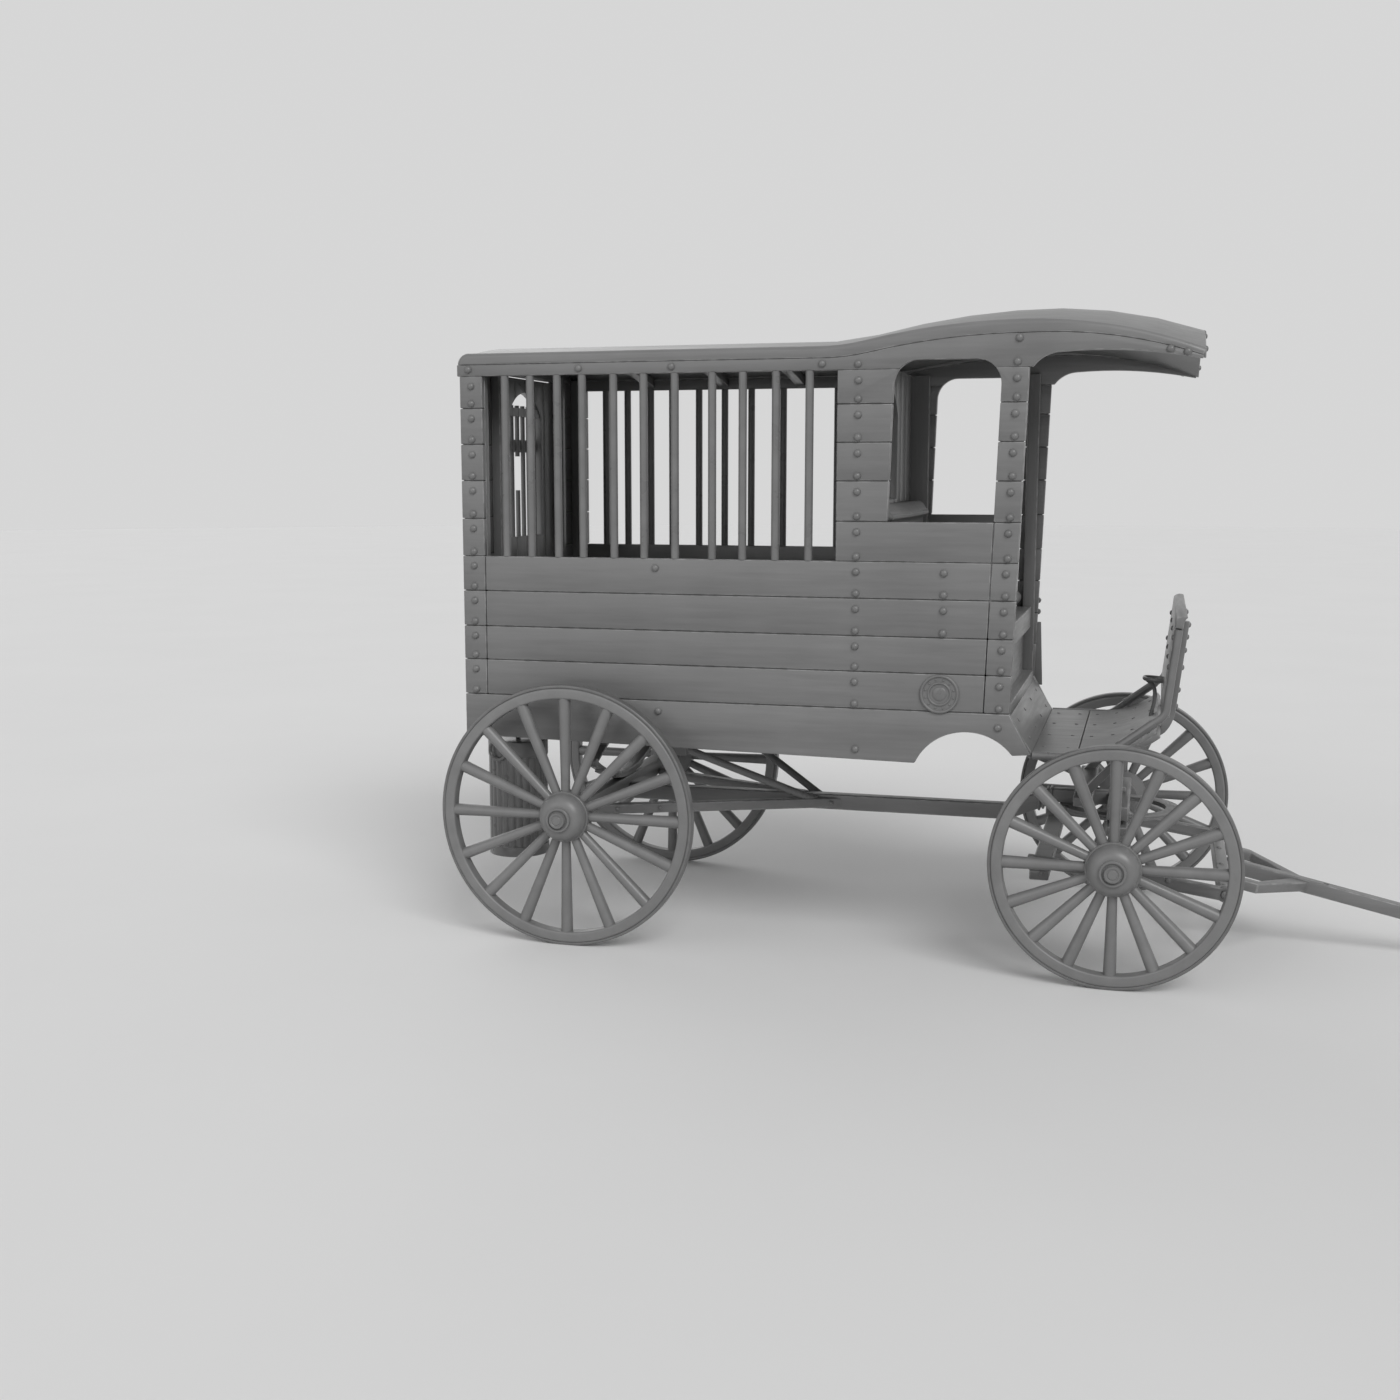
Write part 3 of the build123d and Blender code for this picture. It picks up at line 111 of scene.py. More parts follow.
class WagonFinish(bpy.types.PropertyGroup):
    """Colours and gloss of the wagon and its stage."""

    body_paint: bpy.props.FloatVectorProperty(
        name="Body paint", description="Colour of the planked body",
        default=(0.168, 0.168, 0.168), min=0, max=1, subtype="COLOR")
    gear_paint: bpy.props.FloatVectorProperty(
        name="Gear paint", description="Colour of the axles, reach and pole",
        default=(0.16, 0.16, 0.16), min=0, max=1, subtype="COLOR")
    wheel_paint: bpy.props.FloatVectorProperty(
        name="Wheel paint", description="Colour of the naves, spokes and felloes",
        default=(0.172, 0.172, 0.172), min=0, max=1, subtype="COLOR")
    iron_paint: bpy.props.FloatVectorProperty(
        name="Iron paint", description="Colour of the painted ironwork",
        default=(0.16, 0.16, 0.16), min=0, max=1, subtype="COLOR")
    tyre_paint: bpy.props.FloatVectorProperty(
        name="Tyre iron", description="Colour of the worn iron tyres",
        default=(0.152, 0.152, 0.152), min=0, max=1, subtype="COLOR")
    hide: bpy.props.FloatVectorProperty(
        name="Hide", description="Colour of the seat's leather",
        default=(0.16, 0.16, 0.16), min=0, max=1, subtype="COLOR")
    floor: bpy.props.FloatVectorProperty(
        name="Floor", description="Colour of the studio floor",
        default=(0.8, 0.8, 0.8), min=0, max=1, subtype="COLOR")
    gloss: bpy.props.FloatProperty(
        name="Paint roughness", description="Middle roughness of the satin paint", default=0.33,
        min=0, max=1, subtype="FACTOR")
    edge_wear: bpy.props.FloatProperty(
        name="Edge wear", description="How much lighter the rubbed edges are", default=0.5,
        min=0, max=1, subtype="FACTOR")


class WagonSizes(bpy.types.PropertyGroup):
    """Sizes of the fine pieces."""

    plank_ease: bpy.props.FloatProperty(
        name="Plank easing", description="Width of the eased edge on the body's planks", default=0.004,
        unit="LENGTH")
    beam_ease: bpy.props.FloatProperty(
        name="Beam easing", description="Width of the eased edge on the running gear", default=0.006,
        unit="LENGTH")
    iron_ease: bpy.props.FloatProperty(
        name="Iron easing", description="Width of the eased edge on the ironwork",
        default=0.002, unit="LENGTH")
    board_joint: bpy.props.FloatProperty(
        name="Board joint", description="Width of the joints cut between upright boards", default=0.005,
        unit="LENGTH")
    rivet_radius: bpy.props.FloatProperty(
        name="Rivet radius", description="Radius of a rivet's domed head", default=0.0168, unit="LENGTH")
    rivet_height: bpy.props.FloatProperty(
        name="Rivet height", description="Height of a rivet's head over the plank",
        default=0.0145, unit="LENGTH")
    bolt_radius: bpy.props.FloatProperty(
        name="Bolt radius", description="Radius of a carriage bolt's head", default=0.012, unit="LENGTH")
    nail_radius: bpy.props.FloatProperty(
        name="Nail radius", description="Radius of a clout nail's head", default=0.0085, unit="LENGTH")
    nail_height: bpy.props.FloatProperty(
        name="Nail height", description="Height of a clout nail's head", default=0.0035, unit="LENGTH")
    spokes: bpy.props.IntProperty(name="Spokes", description="Spokes in a wheel", default=16, min=6)
    spoke_foot: bpy.props.FloatProperty(
        name="Spoke foot", description="Radius of a spoke at the nave", default=0.0195, unit="LENGTH")
    spoke_tip: bpy.props.FloatProperty(
        name="Spoke tip", description="Radius of a spoke at the felloe", default=0.0268, unit="LENGTH")
    felloe_depth: bpy.props.FloatProperty(
        name="Felloe depth", description="Radial depth of the felloe", default=0.046, unit="LENGTH")
    felloe_width: bpy.props.FloatProperty(
        name="Felloe width", description="Width of the felloe across the wheel",
        default=0.06, unit="LENGTH")
    tyre_thickness: bpy.props.FloatProperty(
        name="Tyre thickness", description="Thickness of the iron tyre", default=0.014, unit="LENGTH")
    seat_grid: bpy.props.FloatProperty(
        name="Seat grid", description="Size of the grid that the seat's covers are made on",
        default=0.009, unit="LENGTH")
    seat_fill: bpy.props.FloatProperty(
        name="Seat fill", description="How full the seat is stuffed",
        default=0.7, min=0, max=1, subtype="FACTOR")
    pleat_pitch: bpy.props.FloatProperty(
        name="Pleat pitch", description="Width of a pleat on the seat back's roll",
        default=0.024, unit="LENGTH")


def sizes():
    return bpy.context.scene.wagon_sizes


def finishes():
    return bpy.context.scene.wagon_finish


# Mesh helpers

def link(name, data):
    holder = bpy.data.objects.new(name, data)
    bpy.context.scene.collection.objects.link(holder)
    return holder


def drop(holder):
    data = holder.data
    bpy.data.objects.remove(holder)
    bpy.data.meshes.remove(data)


def mesh_from(bm, name):
    mesh = bpy.data.meshes.new(name)
    bm.to_mesh(mesh)
    bm.free()
    return mesh


def evaluated_mesh(holder):
    """Plain mesh of an object with its modifiers applied."""
    bpy.context.view_layer.update()
    graph = bpy.context.evaluated_depsgraph_get()
    return bpy.data.meshes.new_from_object(holder.evaluated_get(graph))


def shade(mesh):
    mesh.shade_smooth()
    mesh.set_sharp_from_angle(angle=SHARP_ANGLE)


def place(name, mesh, body, slot, material, *replaced):
    """Make a finished piece that moves with a body and may stand for nodes of the frame."""
    mesh.name = name
    mesh.materials.clear()
    mesh.materials.append(material)
    piece = link(name, mesh)
    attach(piece, body)
    if replaced:
        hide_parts(*replaced)
    return piece


def joined(meshes):
    """One mesh from several."""
    bm = bmesh.new()
    for mesh in meshes:
        bm.from_mesh(mesh)
        bpy.data.meshes.remove(mesh)
    return mesh_from(bm, "joined")


def node_bmesh(node, whole=True):
    """A node's mesh with its loose triangles joined and, where asked, its flat faces made whole."""
    bm = bmesh.new()
    bm.from_mesh(frame["nodes"][node].data)
    bmesh.ops.remove_doubles(bm, verts=bm.verts, dist=WELD)
    if whole:
        bmesh.ops.dissolve_limit(bm, angle_limit=FLAT_ANGLE, verts=bm.verts, edges=bm.edges)
    return bm


def eased_mesh(bm, width):
    """Mesh with its sharp edges rounded, and those edges marked for wear."""
    holder = link("rough", mesh_from(bm, "rough"))
    for _ in range(2):
        holder.data.materials.append(None)
    bevel = holder.modifiers.new("Ease", "BEVEL")
    bevel.width = width
    bevel.segments = EASE_SEGMENTS
    bevel.limit_method = "ANGLE"
    bevel.angle_limit = CORNER_ANGLE
    bevel.use_clamp_overlap = False
    bevel.material = 1
    mesh = evaluated_mesh(holder)
    drop(holder)
    edge = mesh.attributes.new("edge", "FLOAT", "FACE")
    edge.data.foreach_set("value", [float(face.material_index) for face in mesh.polygons])
    mesh.polygons.foreach_set("material_index", [0] * len(mesh.polygons))
    shade(mesh)
    return mesh


def cut_joints(bm, places, facing):
    """Cut upright joints into the faces that look along an axis, as between boards."""
    width = sizes().board_joint
    for y in places:
        for side in (-1, 1):
            bmesh.ops.bisect_plane(
                bm, geom=bm.verts[:] + bm.edges[:] + bm.faces[:],
                plane_co=(0, y + side * width / 2, 0), plane_no=(0, 1, 0))
        strips = [
            face for face in bm.faces
            if abs(face.calc_center_median().y - y) < width / 2 and abs(face.normal[facing]) > SQUARE_ON
        ]
        sunk = bmesh.ops.extrude_face_region(bm, geom=strips)["geom"]
        bmesh.ops.delete(bm, geom=strips, context="FACES")
        depth = {}
        for face in sunk:
            if isinstance(face, bmesh.types.BMFace):
                face.normal_update()
                for corner in face.verts:
                    depth[corner] = -math.copysign(width, face.normal[facing])
        for corner, move in depth.items():
            corner.co[facing] += move
    bmesh.ops.recalc_face_normals(bm, faces=bm.faces)


def island_boxes(node):
    """Lowest and highest corner of each separate solid in a node."""
    bm = node_bmesh(node)
    waiting = set(bm.verts)
    boxes = []
    while waiting:
        found = [waiting.pop()]
        group = list(found)
        while found:
            point = found.pop()
            for edge in point.link_edges:
                other = edge.other_vert(point)
                if other in waiting:
                    waiting.remove(other)
                    found.append(other)
                    group.append(other)
        boxes.append((
            Vector([min(point.co[axis] for point in group) for axis in range(3)]),
            Vector([max(point.co[axis] for point in group) for axis in range(3)]),
        ))
    bm.free()
    return sorted(boxes, key=lambda box: tuple(box[0]))


def ring_angles(count, shift=0):
    """Angles of places spread evenly round a circle, moved on by a share of the pitch."""
    return [2 * math.pi * (n + shift) / count for n in range(count)]


def turned(profile, segments):
    """Round mesh about the Y axis from a closed loop of (radius, place along the axis) points."""
    bm = bmesh.new()
    angles = ring_angles(segments)
    rings = []
    for radius, y in profile:
        if radius == 0:
            rings.append([bm.verts.new((0, y, 0))] * segments)
            continue
        rings.append([bm.verts.new((radius * math.cos(a), y, radius * math.sin(a))) for a in angles])
    for ring, following in zip(rings, rings[1:] + rings[:1]):
        for n in range(segments):
            corners = list(dict.fromkeys([ring[n], ring[n - 1], following[n - 1], following[n]]))
            if len(corners) > 2:
                bm.faces.new(corners)
    bmesh.ops.recalc_face_normals(bm, faces=bm.faces)
    return mesh_from(bm, "turned")


def set_on_side(mesh, spot, sign):
    """Move a mesh made about the origin to its place, mirrored for the wagon's right side."""
    mesh.transform(Matrix.Translation(spot) @ Matrix.Diagonal((1, sign, 1, 1)))
    if sign < 0:
        mesh.flip_normals()


def arc_points(centre, radius, start, end, steps=5):
    """Points on an arc, angles in degrees."""
    points = []
    for n in range(steps + 1):
        angle = math.radians(start + (end - start) * n / steps)
        points.append((centre[0] + radius * math.cos(angle), centre[1] + radius * math.sin(angle)))
    return points


def eased_section(low, high, ease):
    """Rounded rectangle as a loop of points, from its two corners."""
    points = []
    # columns: corner's centre, first angle
    for x, y, start in (
        (high[0] - ease, high[1] - ease, 0), (low[0] + ease, high[1] - ease, 90),
        (low[0] + ease, low[1] + ease, 180), (high[0] - ease, low[1] + ease, 270),
    ):
        points += arc_points((x, y), ease, start, start + 90)
    return points


def swept(route, radius, closed=False):
    """Round bar along a smooth curve through points."""
    curve = bpy.data.curves.new("bar", "CURVE")
    curve.dimensions = "3D"
    curve.bevel_depth = radius
    curve.bevel_resolution = BAR_RESOLUTION
    curve.use_fill_caps = not closed
    spline = curve.splines.new("BEZIER")
    spline.bezier_points.add(len(route) - 1)
    for point, spot in zip(spline.bezier_points, route):
        point.co = spot
        point.handle_left_type = point.handle_right_type = "AUTO"
    spline.use_cyclic_u = closed
    spline.resolution_u = BAR_STEPS
    holder = link("bar", curve)
    mesh = evaluated_mesh(holder)
    bpy.data.objects.remove(holder)
    bpy.data.curves.remove(curve)
    return mesh


def eased_block(low, high, ease):
    """Rectangular piece with rounded edges, between two corners."""
    bm = bmesh.new()
    bmesh.ops.create_cube(bm, size=1)
    low, high = Vector(low), Vector(high)
    for corner in bm.verts:
        corner.co = Vector([
            (low[axis] + high[axis]) / 2 + corner.co[axis] * (high[axis] - low[axis]) for axis in range(3)
        ])
    bmesh.ops.bevel(
        bm, geom=bm.edges[:], offset=ease, segments=BLOCK_SEGMENTS, affect="EDGES", profile=ROUND_PROFILE)
    return mesh_from(bm, "block")


# Geometry node trees

HEAD_SEGMENTS = 12
HEAD_RINGS = 8
SPOKE_SIDES = 24
SPOKE_STEPS = 6


class Tree:
    """A geometry node tree with named inputs."""

    def __init__(self, name, *numbers):
        self.group = bpy.data.node_groups.new(name, "GeometryNodeTree")
        self.inputs = {}
        self.add_input("Geometry", "NodeSocketGeometry")
        for number in numbers:
            self.add_input(number, "NodeSocketFloat")
        self.add_input("Material", "NodeSocketMaterial")
        self.group.interface.new_socket("Geometry", in_out="OUTPUT", socket_type="NodeSocketGeometry")
        self.start = self.node("NodeGroupInput")
        self.end = self.node("NodeGroupOutput")

    def add_input(self, name, kind):
        socket = self.group.interface.new_socket(name, in_out="INPUT", socket_type=kind)
        self.inputs[name] = socket.identifier

    def node(self, kind, **settings):
        made = self.group.nodes.new(kind)
        for key, value in settings.items():
            setattr(made, key, value)
        return made

    def wire(self, source, socket, target, into):
        self.group.links.new(source.outputs[socket], target.inputs[into])

    def finish_with(self, source, socket):
        """End the tree: instances made real, shaded smooth, with their material."""
        real = self.node("GeometryNodeRealizeInstances")
        soft = self.node("GeometryNodeSetShadeSmooth")
        painted = self.node("GeometryNodeSetMaterial")
        self.wire(source, socket, real, "Geometry")
        self.wire(real, "Geometry", soft, "Geometry")
        self.wire(soft, "Geometry", painted, "Geometry")
        self.wire(self.start, "Material", painted, "Material")
        self.wire(painted, "Geometry", self.end, "Geometry")

    def run(self, mesh, **values):
        """Mesh that the tree makes from a mesh, with its inputs set."""
        holder = link("nodes_holder", mesh)
        step = holder.modifiers.new("Nodes", "NODES")
        step.node_group = self.group
        for name, value in values.items():
            step[self.inputs[name]] = value
        made = evaluated_mesh(holder)
        holder.modifiers.remove(step)
        drop(holder)
        return made


def head_tree():
    """Domed heads on points that carry the direction they face."""
    tree = Tree("Domed heads", "Radius", "Height")
    dome = tree.node("GeometryNodeMeshUVSphere")
    dome.inputs["Segments"].default_value = HEAD_SEGMENTS
    dome.inputs["Rings"].default_value = HEAD_RINGS
    scale = tree.node("ShaderNodeCombineXYZ")
    for axis, size in (("X", "Radius"), ("Y", "Radius"), ("Z", "Height")):
        tree.wire(tree.start, size, scale, axis)
    shaped = tree.node("GeometryNodeTransform")
    tree.wire(dome, "Mesh", shaped, "Geometry")
    tree.wire(scale, "Vector", shaped, "Scale")
    facing = tree.node("GeometryNodeInputNamedAttribute", data_type="FLOAT_VECTOR")
    facing.inputs["Name"].default_value = "facing"
    turn = tree.node("FunctionNodeAlignRotationToVector", axis="Z")
    tree.wire(facing, "Attribute", turn, "Vector")
    heads = tree.node("GeometryNodeInstanceOnPoints")
    tree.wire(tree.start, "Geometry", heads, "Points")
    tree.wire(shaped, "Geometry", heads, "Instance")
    tree.wire(turn, "Rotation", heads, "Rotation")
    tree.finish_with(heads, "Instances")
    return tree


def spoke_tree():
    """Ring of tapered spokes about the Y axis, on as many points as the mesh has."""
    tree = Tree("Spoke ring", "Start", "Length", "Foot", "Tip", "Pitch")
    taper = tree.node("GeometryNodeMeshCone")
    taper.inputs["Vertices"].default_value = SPOKE_SIDES
    taper.inputs["Side Segments"].default_value = SPOKE_STEPS
    tree.wire(tree.start, "Foot", taper, "Radius Bottom")
    tree.wire(tree.start, "Tip", taper, "Radius Top")
    tree.wire(tree.start, "Length", taper, "Depth")
    lift = tree.node("ShaderNodeCombineXYZ")
    tree.wire(tree.start, "Start", lift, "Z")
    raised = tree.node("GeometryNodeTransform")
    tree.wire(taper, "Mesh", raised, "Geometry")
    tree.wire(lift, "Vector", raised, "Translation")
    index = tree.node("GeometryNodeInputIndex")
    angle = tree.node("ShaderNodeMath", operation="MULTIPLY")
    tree.wire(index, "Index", angle, 0)
    tree.wire(tree.start, "Pitch", angle, 1)
    turn = tree.node("ShaderNodeCombineXYZ")
    tree.wire(angle, "Value", turn, "Y")
    ring = tree.node("GeometryNodeInstanceOnPoints")
    tree.wire(tree.start, "Geometry", ring, "Points")
    tree.wire(raised, "Geometry", ring, "Instance")
    tree.wire(turn, "Vector", ring, "Rotation")
    tree.finish_with(ring, "Instances")
    return tree


def points_mesh(places):
    """Mesh of points, each with the direction that its head faces."""
    mesh = bpy.data.meshes.new("points")
    mesh.from_pydata([tuple(point) for point, _ in places], [], [])
    facing = mesh.attributes.new("facing", "FLOAT_VECTOR", "POINT")
    for item, (_, direction) in zip(facing.data, places):
        item.vector = direction
    return mesh


# Materials

# columns: a noise's scale, detail and roughness
FIBRE_NOISE = (3.2, 7, 0.6)
CLOUD_NOISE = (2.1, 3, 0.55)
WEAR_NOISE = (22, 5, 0.55)
PIT_NOISE = (160, 4, 0.55)
WAVE_NOISE = (9, 3, 0.55)
SCUFF_NOISE = (3, 6, 0.65)
CREASE_NOISE = (14, 5, 0.55)
FLOOR_NOISE = (0.6, 4, 0.55)
# columns: darkest and lightest share of the colour
CLOUD_TONE = (0.92, 1.08)
BOARD_TONE = (0.94, 1.06)
FIBRE_TONE = (0.92, 1.07)
WAVE_TONE = (0.9, 1.1)
SCUFF_TONE = (0.88, 1.16)
CREASE_TONE = (0.88, 1.1)
FLOOR_TONE = (0.99, 1.01)
# columns: least and most roughness, on painted wood and iron as steps from the paint's own
WOOD_SHEEN = (-0.05, 0.12)
IRON_SHEEN = (-0.08, 0.06)
TYRE_SHEEN = (0.28, 0.48)
HIDE_SHEEN = (0.4, 0.54)
FLOOR_ROUGHNESS = 0.9
# columns: strength and depth of the relief
WOOD_RELIEF = (0.32, 0.0015)
IRON_RELIEF = (0.2, 0.001)
HIDE_RELIEF = (0.25, 0.0012)
WEAR_PATCHES = (0.42, 0.62)          # noise at which a rubbed patch starts and is full
GRAIN_STRETCH = {"X": (0.9, 16, 16), "Y": (16, 0.9, 16), "Z": (16, 16, 0.9), "round": (5, 5, 5)}
TYRE_STRETCH = (7, 60, 7)
TYRE_METAL = 0.25
HIDE_CELLS = 170                     # cells of the leather to a metre


class Paint:
    """A material under construction, with its texture space in object coordinates."""

    def __init__(self, name):
        self.material = bpy.data.materials.new(name)
        self.material.use_nodes = True
        self.nodes = self.material.node_tree.nodes
        self.links = self.material.node_tree.links
        self.shader = self.nodes["Principled BSDF"]
        self.spot = self.nodes.new("ShaderNodeTexCoord").outputs["Object"]

    def stretched(self, scale):
        mapping = self.nodes.new("ShaderNodeMapping")
        mapping.inputs["Scale"].default_value = scale
        self.links.new(self.spot, mapping.inputs["Vector"])
        return mapping.outputs["Vector"]

    def noise(self, vector, settings):
        texture = self.nodes.new("ShaderNodeTexNoise")
        for name, number in zip(("Scale", "Detail", "Roughness"), settings):
            texture.inputs[name].default_value = number
        self.links.new(vector, texture.inputs["Vector"])
        return texture.outputs["Fac"]

    def ranged(self, value, low, high, start=0.3, end=0.7):
        """A value spread over a range. Most of a noise lies between 0.3 and 0.7."""
        spread = self.nodes.new("ShaderNodeMapRange")
        for name, number in (("From Min", start), ("From Max", end), ("To Min", low), ("To Max", high)):
            spread.inputs[name].default_value = number
        self.links.new(value, spread.inputs["Value"])
        return spread.outputs["Result"]

    def mixed(self, first, second, operation="MULTIPLY"):
        step = self.nodes.new("ShaderNodeMath")
        step.operation = operation
        self.links.new(first, step.inputs[0])
        self.links.new(second, step.inputs[1])
        return step.outputs["Value"]

    def worn(self, tone):
        """Tone made lighter in patches along the eased edges."""
        edge = self.nodes.new("ShaderNodeAttribute")
        edge.attribute_name = "edge"
        patches = self.ranged(self.noise(self.spot, WEAR_NOISE), 0, 1, *WEAR_PATCHES)
        rubbed = self.mixed(edge.outputs["Fac"], patches)
        return self.mixed(tone, self.ranged(rubbed, 1, 1 + finishes().edge_wear, 0, 1))

    def tone(self, colour, factor):
        """Base colour as one colour times a changing tone."""
        scaled = self.nodes.new("ShaderNodeVectorMath")
        scaled.operation = "SCALE"
        scaled.inputs[0].default_value = colour
        self.links.new(factor, scaled.inputs["Scale"])
        self.links.new(scaled.outputs["Vector"], self.shader.inputs["Base Color"])

    def bump(self, height, strength, distance):
        relief = self.nodes.new("ShaderNodeBump")
        relief.inputs["Strength"].default_value = strength
        relief.inputs["Distance"].default_value = distance
        self.links.new(height, relief.inputs["Height"])
        self.links.new(relief.outputs["Normal"], self.shader.inputs["Normal"])

    def rough(self, value, low, high):
        self.links.new(self.ranged(value, low, high), self.shader.inputs["Roughness"])

    def per_piece(self):
        """A number that differs from one board to the next."""
        return self.nodes.new("ShaderNodeNewGeometry").outputs["Random Per Island"]


def painted_wood(name, colour, grain):
    """Satin paint over planed wood: faint grain, rubbed edges and a little tone from board to board."""
    paint = Paint(name)
    fibre = paint.noise(paint.stretched(GRAIN_STRETCH[grain]), FIBRE_NOISE)
    cloud = paint.noise(paint.spot, CLOUD_NOISE)
    board = paint.ranged(paint.per_piece(), *BOARD_TONE, 0, 1)
    tone = paint.mixed(paint.ranged(cloud, *CLOUD_TONE), board)
    tone = paint.mixed(tone, paint.ranged(fibre, *FIBRE_TONE))
    paint.tone(colour, paint.worn(tone))
    paint.rough(fibre, *(finishes().gloss + step for step in WOOD_SHEEN))
    paint.bump(fibre, *WOOD_RELIEF)
    return paint.material


def painted_iron(name, colour):
    """Satin paint over forged iron: fine pitting, slow waves and rubbed edges."""
    paint = Paint(name)
    pits = paint.noise(paint.spot, PIT_NOISE)
    waves = paint.noise(paint.spot, WAVE_NOISE)
    paint.tone(colour, paint.worn(paint.ranged(waves, *WAVE_TONE)))
    paint.rough(waves, *(finishes().gloss + step for step in IRON_SHEEN))
    paint.bump(pits, *IRON_RELIEF)
    return paint.material


def worn_tyre(name, colour):
    """Rolled iron, scuffed by the road."""
    paint = Paint(name)
    scuffs = paint.noise(paint.stretched(TYRE_STRETCH), SCUFF_NOISE)
    paint.tone(colour, paint.ranged(scuffs, *SCUFF_TONE))
    paint.rough(scuffs, *TYRE_SHEEN)
    paint.bump(scuffs, *IRON_RELIEF)
    paint.shader.inputs["Metallic"].default_value = TYRE_METAL
    return paint.material


def seat_leather(name, colour):
    """Soft leather: fine cells with broad creases."""
    paint = Paint(name)
    cells = paint.nodes.new("ShaderNodeTexVoronoi")
    cells.feature = "DISTANCE_TO_EDGE"
    cells.inputs["Scale"].default_value = HIDE_CELLS
    paint.links.new(paint.spot, cells.inputs["Vector"])
    creases = paint.noise(paint.spot, CREASE_NOISE)
    paint.tone(colour, paint.ranged(creases, *CREASE_TONE))
    paint.rough(creases, *HIDE_SHEEN)
    relief = paint.mixed(cells.outputs["Distance"], creases, "ADD")
    paint.bump(relief, *HIDE_RELIEF)
    return paint.material


materials = {}


def make_materials():
    """Every finish under its slot, and the woodwork's under its grain as well."""
    finish = finishes()
    for grain in ("X", "Y", "Z"):
        materials["body_wood", grain] = painted_wood(f"body_paint_{grain}", finish.body_paint, grain)
        materials["gear_wood", grain] = painted_wood(f"gear_paint_{grain}", finish.gear_paint, grain)
    materials["wheel_wood"] = painted_wood("wheel_paint", finish.wheel_paint, "round")
    materials["painted_iron"] = painted_iron("iron_paint", finish.iron_paint)
    materials["tyre_iron"] = worn_tyre("tyre_scuffed", finish.tyre_paint)
    materials["leather"] = seat_leather("seat_hide", finish.hide)


# Woodwork and ironwork

# Nodes whose boards stand upright, with the number of boards across
BOARDED = {"door_panel": 6, "partition": 8}
BOARD_EASE = 0.0014
TONGUE_THICKNESS = 0.008
TONGUE_LAP = 0.001                   # reach of a tongue into the planks above and below
TONGUE_INSET = 0.007                 # from the planks' ends
TONGUE_EASE = 0.0008
JOINT_REACH = 0.006                  # planks nearer than this, one over the other, share a joint


def plank_tongues(node, axis, below):
    """Tongues in the joints between planks that run along an axis, so that no daylight shows through."""
    planks = island_boxes(node)
    across = 1 - axis
    blocks = []
    for low, high in planks:
        middle_plane = (low[across] + high[across]) / 2
        for under_low, under_high in planks + below:
            start = max(low[axis], under_low[axis]) + TONGUE_INSET
            end = min(high[axis], under_high[axis]) - TONGUE_INSET
            same_wall = under_low[across] < middle_plane < under_high[across]
            if not same_wall or end < start or abs(low.z - under_high.z) > JOINT_REACH:
                continue
            corners = []
            for face, reach, z in (
                (-1, start, under_high.z - TONGUE_LAP), (1, end, low.z + TONGUE_LAP),
            ):
                corner = [0, 0, z]
                corner[axis] = reach
                corner[across] = middle_plane + face * TONGUE_THICKNESS / 2
                corners.append(corner)
            blocks.append(eased_block(*corners, TONGUE_EASE))
    return blocks


def dress_tongues():
    """Tongues for the side walls and the rear wall."""
    skirts = island_boxes("skirts")
    # columns: name, planks' node, axis that they run along, what lies under the lowest, grain
    for name, node, axis, below, grain in (
        ("left_wall_tongues", "left_wall", 0, skirts, "X"),
        ("right_wall_tongues", "right_wall", 0, skirts, "X"),
        ("rear_wall_tongues", "rear_wall", 1, [], "Y"),
    ):
        mesh = joined(plank_tongues(node, axis, below))
        place(name, mesh, BODY, "body_wood", materials["body_wood", grain])


def dress_woodwork():
    """Planks, posts and beams with eased edges and grain."""
    dress_tongues()
    for grain, nodes in WOOD_GRAIN.items():
        for node in nodes:
            slot = NODE_SLOT[node]
            width = sizes().plank_ease if slot == "body_wood" else sizes().beam_ease
            bm = node_bmesh(node, whole=node not in BOARDED)
            if node in BOARDED:
                low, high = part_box(node)
                boards = BOARDED[node]
                cut_joints(bm, [low.y + (high.y - low.y) * n / boards for n in range(1, boards)], 0)
                width = BOARD_EASE
            place(node + "_eased", eased_mesh(bm, width), NODE_BODY[node], slot, materials[slot, grain], node)


def dress_ironwork():
    """Straps, plates and pins with eased edges; bars and rails keep their shape."""
    iron = materials["painted_iron"]
    for node in EASED_IRON:
        mesh = eased_mesh(node_bmesh(node), sizes().iron_ease)
        place(node + "_eased", mesh, NODE_BODY[node], "painted_iron", iron, node)
    for node in ROUND_IRON:
        slots = frame["nodes"][node].data.materials
        slots.clear()
        slots.append(iron)


# Wheels

RIM_SEGMENTS = 160                   # round the felloe and the tyre
NAVE_SEGMENTS = 64
NAVE_STEPS = 8                       # along the dome's curve
# places along the axle, outwards from the rim's middle plane
NAVE_INNER = -0.117
INNER_BAND_END = -0.082
NAVE_SHOULDER = -0.034
DOME_START = 0.034
ARM_SPACE_END = 0.076
NOSE_START = 0.093
# radii, heights and steps
NAVE_RADIUS = 0.112
INNER_BAND_RADIUS = 0.072
NOSE_RING_RADIUS = 0.054
BOSS_RADIUS = 0.035
BUTTON_RADIUS = 0.017
ARM_BORE = 0.0256
NOSE_RING_DEPTH = 0.016
BOSS_HEIGHT = 0.014
DOME_STEP = 0.006                    # the dome stands in from the spoke bed
GROOVE = 0.008                       # round the boss, inside the nose ring
LIP = 0.003                          # small rounding on turned corners
FELLOE_EASE = 0.009
TYRE_EASE = 0.004
SPOKE_ROOT = 0.02                    # reach of a spoke into the nave
SPOKE_TENON = 0.012                  # reach of a spoke into the felloe


